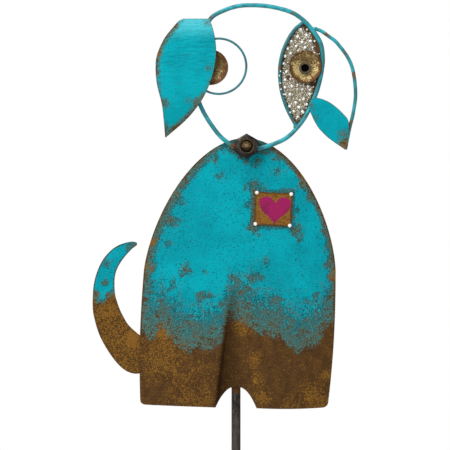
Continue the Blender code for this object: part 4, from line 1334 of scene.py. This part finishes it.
eyePanel = {
    "along": 90, "across": 30, "edgeSteps": 20, "lumps": (0.00012, 0.004, 1.2, 3),
    "beadRadius": 0.0017, "beadCentre": 0.0009, "beadSpread": (0.88, 1.02),
    "grit": (0.0004, 0.0010, 11, 0.0012),           # smallest, largest, seed and spacing
    "smallBeads": (0.0005, 0.0009, 5, 0.0040),
    "mostPerSquareMetre": 900000.0,
    "gritBed": (0.0003, 0.0052), "smallBed": (0.0006, 0.0044), "glueBed": (0.0003, 0.0050),
    "unevenBy": 0.0016, "unevenSize": 0.005, "cupShare": 0.98, "leftMargin": 0.0032,
    "glueLump": 0.0002, "glueLumpSize": 0.002,
    "bareAbove": 26.0,
    "bareSpots": [(309, 27, 5, 1.2), (316, 41, 4, 1.2), (318, 49, 4, 1.2), (283, 59, 3, 1.0),
                  (282, 65, 3, 1.0), (288, 78, 3, 0.9), (312, 84, 3, 1.0)],
    # each bead: share of the way down the eye, share across it, share of the bead radius
    "beads": [
        (0.102, 0.307, 1.0), (0.160, 0.610, 1.0), (0.182, 0.277, 1.0), (0.217, 0.717, 1.0),
        (0.230, 0.124, 1.0), (0.233, 0.454, 1.0), (0.215, 0.847, 0.7), (0.273, 0.307, 1.0),
        (0.282, 0.554, 1.0), (0.300, 0.100, 1.0), (0.275, 0.757, 0.7), (0.340, 0.207, 1.0),
        (0.367, 0.088, 1.0), (0.323, 0.804, 0.7), (0.312, 0.383, 0.7), (0.432, 0.084, 1.0),
        (0.500, 0.169, 1.0), (0.570, 0.136, 1.0), (0.560, 0.268, 0.7), (0.620, 0.309, 1.0),
        (0.635, 0.116, 1.0), (0.605, 0.452, 0.7), (0.642, 0.597, 1.0), (0.613, 0.735, 1.0),
        (0.682, 0.836, 1.0), (0.695, 0.244, 1.0), (0.700, 0.097, 0.7), (0.728, 0.684, 1.0),
        (0.642, 0.812, 0.7), (0.740, 0.564, 0.7), (0.765, 0.420, 1.0), (0.775, 0.838, 1.0),
        (0.805, 0.158, 1.0), (0.807, 0.553, 1.0), (0.850, 0.311, 1.0), (0.850, 0.781, 1.0),
        (0.900, 0.512, 1.0), (0.100, 0.688, 0.7)],
    # small beads stuck on the wire arc, by column and row in the photo
    "arcBeads": [(280.6, 71.4), (279.4, 75.8), (281.0, 89.4), (283.6, 94.4), (280.2, 83.2),
                 (290.2, 112.6)],
    "arcBeadRadius": 0.0008, "arcBeadSpread": (0.9, 1.15),
}


def betweenEdges(left, right, down, across):
    at = down * (len(left) - 1)
    k = min(int(at), len(left) - 2)
    return left[k].lerp(left[k + 1], at - k).lerp(right[k].lerp(right[k + 1], at - k), across)


def setBeads(name, places, y, radius, spread, seed, material):
    bm = bmesh.new()
    for p in places:
        bm.verts.new((p.x, y, p.y))
    growBeads(name, bm, False, material, radius * spread[0], radius * spread[1], seed)


def makeEyePanel(plateMaterial, glueMaterial, beadMaterial, smallMaterial, gritMaterial):
    ring = ringPath()
    edge = headPath("eyeFrame")
    top, bottom = (min(range(len(ring)), key=lambda k: (ring[k] - end).length)
                   for end in (edge[0], edge[-1]))
    rightEdge = ring[top:bottom + 1]
    frontY = ringY + ringRadius + gap
    cupCentre, cupRadius = roundNode("eye_cup_right")[:2]
    grid = sheetGrid(edge, rightEdge, eyePanel["along"], eyePanel["across"])
    plate = buildSheet("eyePlate", [grid], lambda x, z: frontY, head["sheet"],
                       lambda x, z, distance: {"wear": 1.0}, lumps(*eyePanel["lumps"]),
                       plateMaterial)
    install(plate, "rusty_steel", "eye_panel_right")

    left, right = (spreadEvenly(side, eyePanel["edgeSteps"]) for side in (edge, rightEdge))
    for name, share in (("eyeBeads", 1.0), ("eyeHalfBeads", 0.7)):
        places = [betweenEdges(left, right, down, across)
                  for down, across, size in eyePanel["beads"] if size == share]
        setBeads(name, places, frontY - eyePanel["beadCentre"], eyePanel["beadRadius"] * share,
                 eyePanel["beadSpread"], 3, beadMaterial)
    setBeads("eyeArcBeads", [atPixel(*spot) for spot in eyePanel["arcBeads"]],
             ringY - head["frameWire"], eyePanel["arcBeadRadius"], eyePanel["arcBeadSpread"], 8,
             beadMaterial)
    bareTop = atPixel(0, eyePanel["bareAbove"]).y

    def holdsGlass(middle, keepOff):
        place = Vector((middle.x, 0.0, middle.y))
        uneven = eyePanel["unevenBy"] * grainAt(place, eyePanel["unevenSize"], 2)
        bare = spotWear(middle.x, middle.y, eyePanel["bareSpots"]) > 0.5 + 200 * uneven
        return not (bare or middle.y > bareTop + uneven
                    or (middle - cupCentre).length < cupRadius * eyePanel["cupShare"]
                    or min((middle - q).length for q in left) < eyePanel["leftMargin"]
                    or min((middle - q).length for q in right) < keepOff + uneven)

    def bed(lift, keepOff):  # the part of the plate with glass on it
        made = bmesh.new()
        for upper, lower in zip(grid[2:-3], grid[3:-2]):
            for k in range(2, len(upper) - 3):
                corners = [upper[k], lower[k], lower[k + 1], upper[k + 1]]
                if holdsGlass(sum(corners, Vector((0.0, 0.0))) / 4, keepOff):
                    made.faces.new([made.verts.new((p.x, frontY - lift, p.y)) for p in corners])
        return made

    glue = bed(*eyePanel["glueBed"])
    joinCorners(glue)
    for vert in glue.verts:
        vert.co.y -= eyePanel["glueLump"] * grainAt(vert.co, eyePanel["glueLumpSize"], 2)
    install(newPiece("eyeGlue", glue, glueMaterial), "glass_beads")
    growBeads("eyeGrit", bed(*eyePanel["gritBed"]), True, gritMaterial, *eyePanel["grit"])
    growBeads("eyeSmallBeads", bed(*eyePanel["smallBed"]), True, smallMaterial,
              *eyePanel["smallBeads"])


# Heart patch

patch = {
    "width": 0.0440, "height": 0.0406, "sheet": 0.0008, "drop": 0.0784, "sideShift": 0.0341,
    "sideDip": 0.0017, "endDip": 0.0022, "dipPower": 4, "turn": math.radians(-2.7),
    "across": 110, "along": 104, "rim": (0.002, 1.0), "borderSharpness": 4,
    "curl": (0.0005, 0.012, 1.5, 2), "curlWidth": 0.004, "pits": (0.00006, 0.003, 1.5, 2),
    "heartWidth": 0.0345, "heartHeight": 0.0304, "heartAt": (274.9, 210.9),
    "lobeMiddle": 0.56, "lobeReach": 0.46, "cleft": 0.62, "sideSlope": 1.08, "sideTurn": 0.42,
}


def heartInside(u, v):  # above zero inside a heart two units wide and two tall
    u = abs(u)
    lobe = (u - patch["lobeMiddle"]) / patch["lobeReach"]
    top = patch["cleft"] + (1 - patch["cleft"]) * math.sqrt(max(0.0, 1 - lobe * lobe))
    bottom = -1 + patch["sideSlope"] * u ** 0.7 + patch["sideTurn"] * u ** 12
    return min(top - v, v - bottom, 1 - u)


def makePatch(material):
    centreZ = bodyTopZ - patch["drop"]
    centre = Vector((bodyMiddle(centreZ) + patch["sideShift"], centreZ))
    right = Vector((math.cos(patch["turn"]), math.sin(patch["turn"])))
    up = Vector((-right.y, right.x))
    curl, pits = lumps(*patch["curl"]), lumps(*patch["pits"])

    def place(u, v):  # from -1 to 1 both ways, with the edges curving in between the corners
        wide = patch["width"] / 2 - patch["sideDip"] * (1 - abs(v) ** patch["dipPower"])
        high = patch["height"] / 2 - patch["endDip"] * (1 - abs(u) ** patch["dipPower"])
        return centre + u * wide * right + v * high * up

    grid = [[place(2 * n / patch["across"] - 1, 1 - 2 * k / patch["along"])
             for n in range(patch["across"] + 1)] for k in range(patch["along"] + 1)]

    def front(x, z):
        return bodyFront(x, z) - gap - patch["sheet"]

    def marks(x, z, distance):
        off = Vector((x, z)) - atPixel(*patch["heartAt"])
        inside = heartInside(off.dot(right) / (patch["heartWidth"] / 2),
                             off.dot(up) / (patch["heartHeight"] / 2))
        return {"wear": edgeWear(distance, *patch["rim"]),
                "heart": max(-1.0, min(1.0, inside * patch["borderSharpness"]))}

    def relief(x, z, distance):
        lifted = curl(x, z, distance) * smoothStep(1 - distance / patch["curlWidth"])
        return max(0.0, lifted) + pits(x, z, distance)

    sheet = buildSheet("heartPatch", [grid], front, patch["sheet"], marks, relief, material)
    install(sheet, "rusty_steel", "heart_patch")


# Welds

weldLump, weldLumpShare = 0.22, 1.3


def makeWeld(name, place, size, material, seed):
    bm = bmesh.new()
    bmesh.ops.create_icosphere(bm, subdivisions=3, radius=1.0)
    for vert in bm.verts:
        spot = vert.co * weldLumpShare + Vector((seed, 0.0, 0.0))
        lump = 1 + weldLump * noise.fractal(spot, 0.8, 2.0, 2)
        vert.co = Vector(place) + Vector([c * s * lump for c, s in zip(vert.co, size)])
    install(newPiece(name, bm, material, 80), "wire_paint")


def makeWelds(rusty, painted):
    def spot(across, down, y):
        p = atPixel(across, down)
        return (p.x, y, p.y)

    wireFront = ringY - ringRadius * 0.3 - 0.0010
    leafY = leafBackY + 0.0004
    welds = [  # name, middle, half sizes along x, y and z, and material
        ("weldNoseLeft", (nutLow.x - 0.0022, ringY, nutMiddle.z + 0.0002),
         (0.0036, 0.0028, 0.0032), rusty),
        ("weldNoseRight", (nutHigh.x + 0.0006, ringY, headFootZ - 0.0002),
         (0.0012, 0.0026, 0.0027), painted),
        ("weldEarTop", spot(209.6, 20.6, wireFront), (0.0020, 0.0020, 0.0022), painted),
        ("weldFrameTop", spot(304.4, 21.6, ringY), (0.0030, 0.0023, 0.0024), painted),
        ("weldFrameFoot", spot(295.6, 126.4, ringY), (0.0026, 0.0023, 0.0030), painted),
        ("weldEarWire", spot(315.0, 29.2, ringY), (0.0031, 0.0023, 0.0024), painted),
        ("weldLeaf", spot(311.5, 104.0, leafY), (0.0026, 0.0012, 0.0045), painted),
        ("weldLeafTip", spot(345.6, 143.0, leafY), (0.0012, 0.0012, 0.0050), rusty),
        ("weldTail", (bodyLow.x + 0.0022, tailFrontY - 0.0002, feetZ + 0.057),
         (0.0016, 0.0011, 0.0110), rusty),
        ("weldEyeCupLeft", spot(193.8, 67.6, ringY - ringRadius), (0.0016, 0.0014, 0.0050), rusty),
    ]
    stakeWeld = {"y": -(stakeHigh.x + gap) + 0.0014, "out": 0.66, "first": 0.040, "apart": 0.045}
    for row in range(4):
        z = feetZ + stakeWeld["first"] + row * stakeWeld["apart"]
        for side, letter in ((-1, "L"), (1, "R")):
            place = (side * stakeHigh.x * stakeWeld["out"], stakeWeld["y"], z)
            welds.append(("weldStake%d%s" % (row + 1, letter), place, (0.0026, 0.0019, 0.0075),
                          rusty))
    for number, (name, place, size, material) in enumerate(welds):
        makeWeld(name, place, size, material, number * 3.7)


# Stage, light and camera

studio = {
    "floorRadius": 1.3, "distance": 2.5, "frameHeight": 0.495, "sensor": 36.0,
    "floorTones": (srgb(236, 236, 236), srgb(242, 242, 242)), "skyStrength": 0.42,
    "target": Vector((0.0, 0.0, 0.45)),
    "lights": [  # name, place, size and power
        ("keyLight", (-1.1, -1.5, 1.75), 0.9, 30.0), ("topLight", (-0.1, -0.35, 1.9), 1.0, 10.0),
        ("fillLight", (1.6, -1.6, 0.7), 1.2, 3.0)],
}


def makeStudio():
    bm = bmesh.new()
    bmesh.ops.create_circle(bm, cap_ends=True, segments=96, radius=studio["floorRadius"])
    f = Finish("paleFloor", Roughness=0.9)
    f.give(Base_Color=f.mix(f.broadGrain(0.2), *studio["floorTones"]))
    newPiece("studioFloor", bm, f.material)

    scene = bpy.context.scene
    scene.view_settings.view_transform = "Standard"
    world = bpy.data.worlds.new("studioWhite")
    world.use_nodes = True
    nodes, links = world.node_tree.nodes, world.node_tree.links
    background = nodes["Background"]
    background.inputs["Color"].default_value = (1.0, 1.0, 1.0, 1.0)
    ray = nodes.new("ShaderNodeLightPath")
    level = nodes.new("ShaderNodeMapRange")
    level.inputs["To Min"].default_value = studio["skyStrength"]
    links.new(ray.outputs["Is Camera Ray"], level.inputs["Value"])
    links.new(level.outputs["Result"], background.inputs["Strength"])
    scene.world = world

    for name, place, size, power in studio["lights"]:
        light = bpy.data.lights.new(name, "AREA")
        light.shape, light.size, light.energy = "DISK", size, power
        lamp = bpy.data.objects.new(name, light)
        lamp.location = place
        aim = studio["target"] - Vector(place)
        lamp.rotation_euler = aim.to_track_quat("-Z", "Y").to_euler()
        scene.collection.objects.link(lamp)

    lens = bpy.data.cameras.new("photoCamera")
    lens.sensor_width = studio["sensor"]
    lens.lens = studio["sensor"] * studio["distance"] / studio["frameHeight"]
    camera = bpy.data.objects.new("photoCamera", lens)
    middle = atPixel(225, 225)
    camera.location = (middle.x, ringY - studio["distance"], middle.y)
    camera.rotation_euler = (math.radians(90), 0.0, 0.0)
    scene.collection.objects.link(camera)
    scene.camera = camera


makeStudio()
turquoise = paintedSheet("turquoisePaint")
wirePaint = paintedWire("wirePaint")
thinWirePaint = paintedWire("thinWirePaint", 0.7, "thinShade")
steel = darkSteel("stakeSteel", srgb(88, 80, 74), srgb(44, 39, 36))
nutSteel = darkSteel("nutSteel", srgb(92, 86, 80), srgb(36, 33, 32), 0.6,
                     (nutMiddle, nose["holeRadius"]))
pupilSteel = darkSteel("pupilSteel", srgb(110, 96, 78), srgb(60, 48, 36), 0.4)
# near-black, with no shine: painted shadow for the pupils' holes
pupilHoleShadow = speckled("pupilHoleShadowPaint", srgb(12, 9, 8), srgb(5, 4, 4), 0.02)
rustWeld = speckled("rustWeld", srgb(122, 78, 48), srgb(66, 44, 28))
paintWeld = speckled("paintedWeld", srgb(66, 160, 172), srgb(48, 124, 132))
studWhite = beadGlass("studWhite", srgb(252, 252, 248), srgb(242, 242, 236), 0.0, 0.12)
opalGlass = beadGlass("opalGlass", srgb(255, 255, 252), srgb(244, 244, 238), 0.0, 0.08)
clearGlass = beadGlass("clearGlass", srgb(240, 236, 220), srgb(196, 188, 160), 0.1, 0.1)
gritGlass = beadGlass("gritGlass", srgb(240, 236, 222), srgb(104, 91, 64), 0.05, 0.3, 0.0019)
glueClear = speckled("glueClear", srgb(166, 156, 128), srgb(104, 90, 62), 0.4)

makeStake(steel)
makeBody(turquoise)
makeTail(turquoise)
makeWires(wirePaint, thinWirePaint)
makeEar(paintedSheet("earPaint", 2.6, 0.3))
makeLeaf(paintedSheet("leafPaint", 0.0, 0.35))
for side in ("left", "right"):
    makeEye(side, pupilSteel, pupilHoleShadow)
makeEyePanel(rustySteel("eyePlateRust"), glueClear, opalGlass, clearGlass, gritGlass)
makeNut(nutSteel)
makeBolt(wornBolt("boltBrass", nutMiddle))
makePatch(paintedPatch("patchPaint"))
makeStuds(studWhite)
makeWelds(rustWeld, paintWeld)
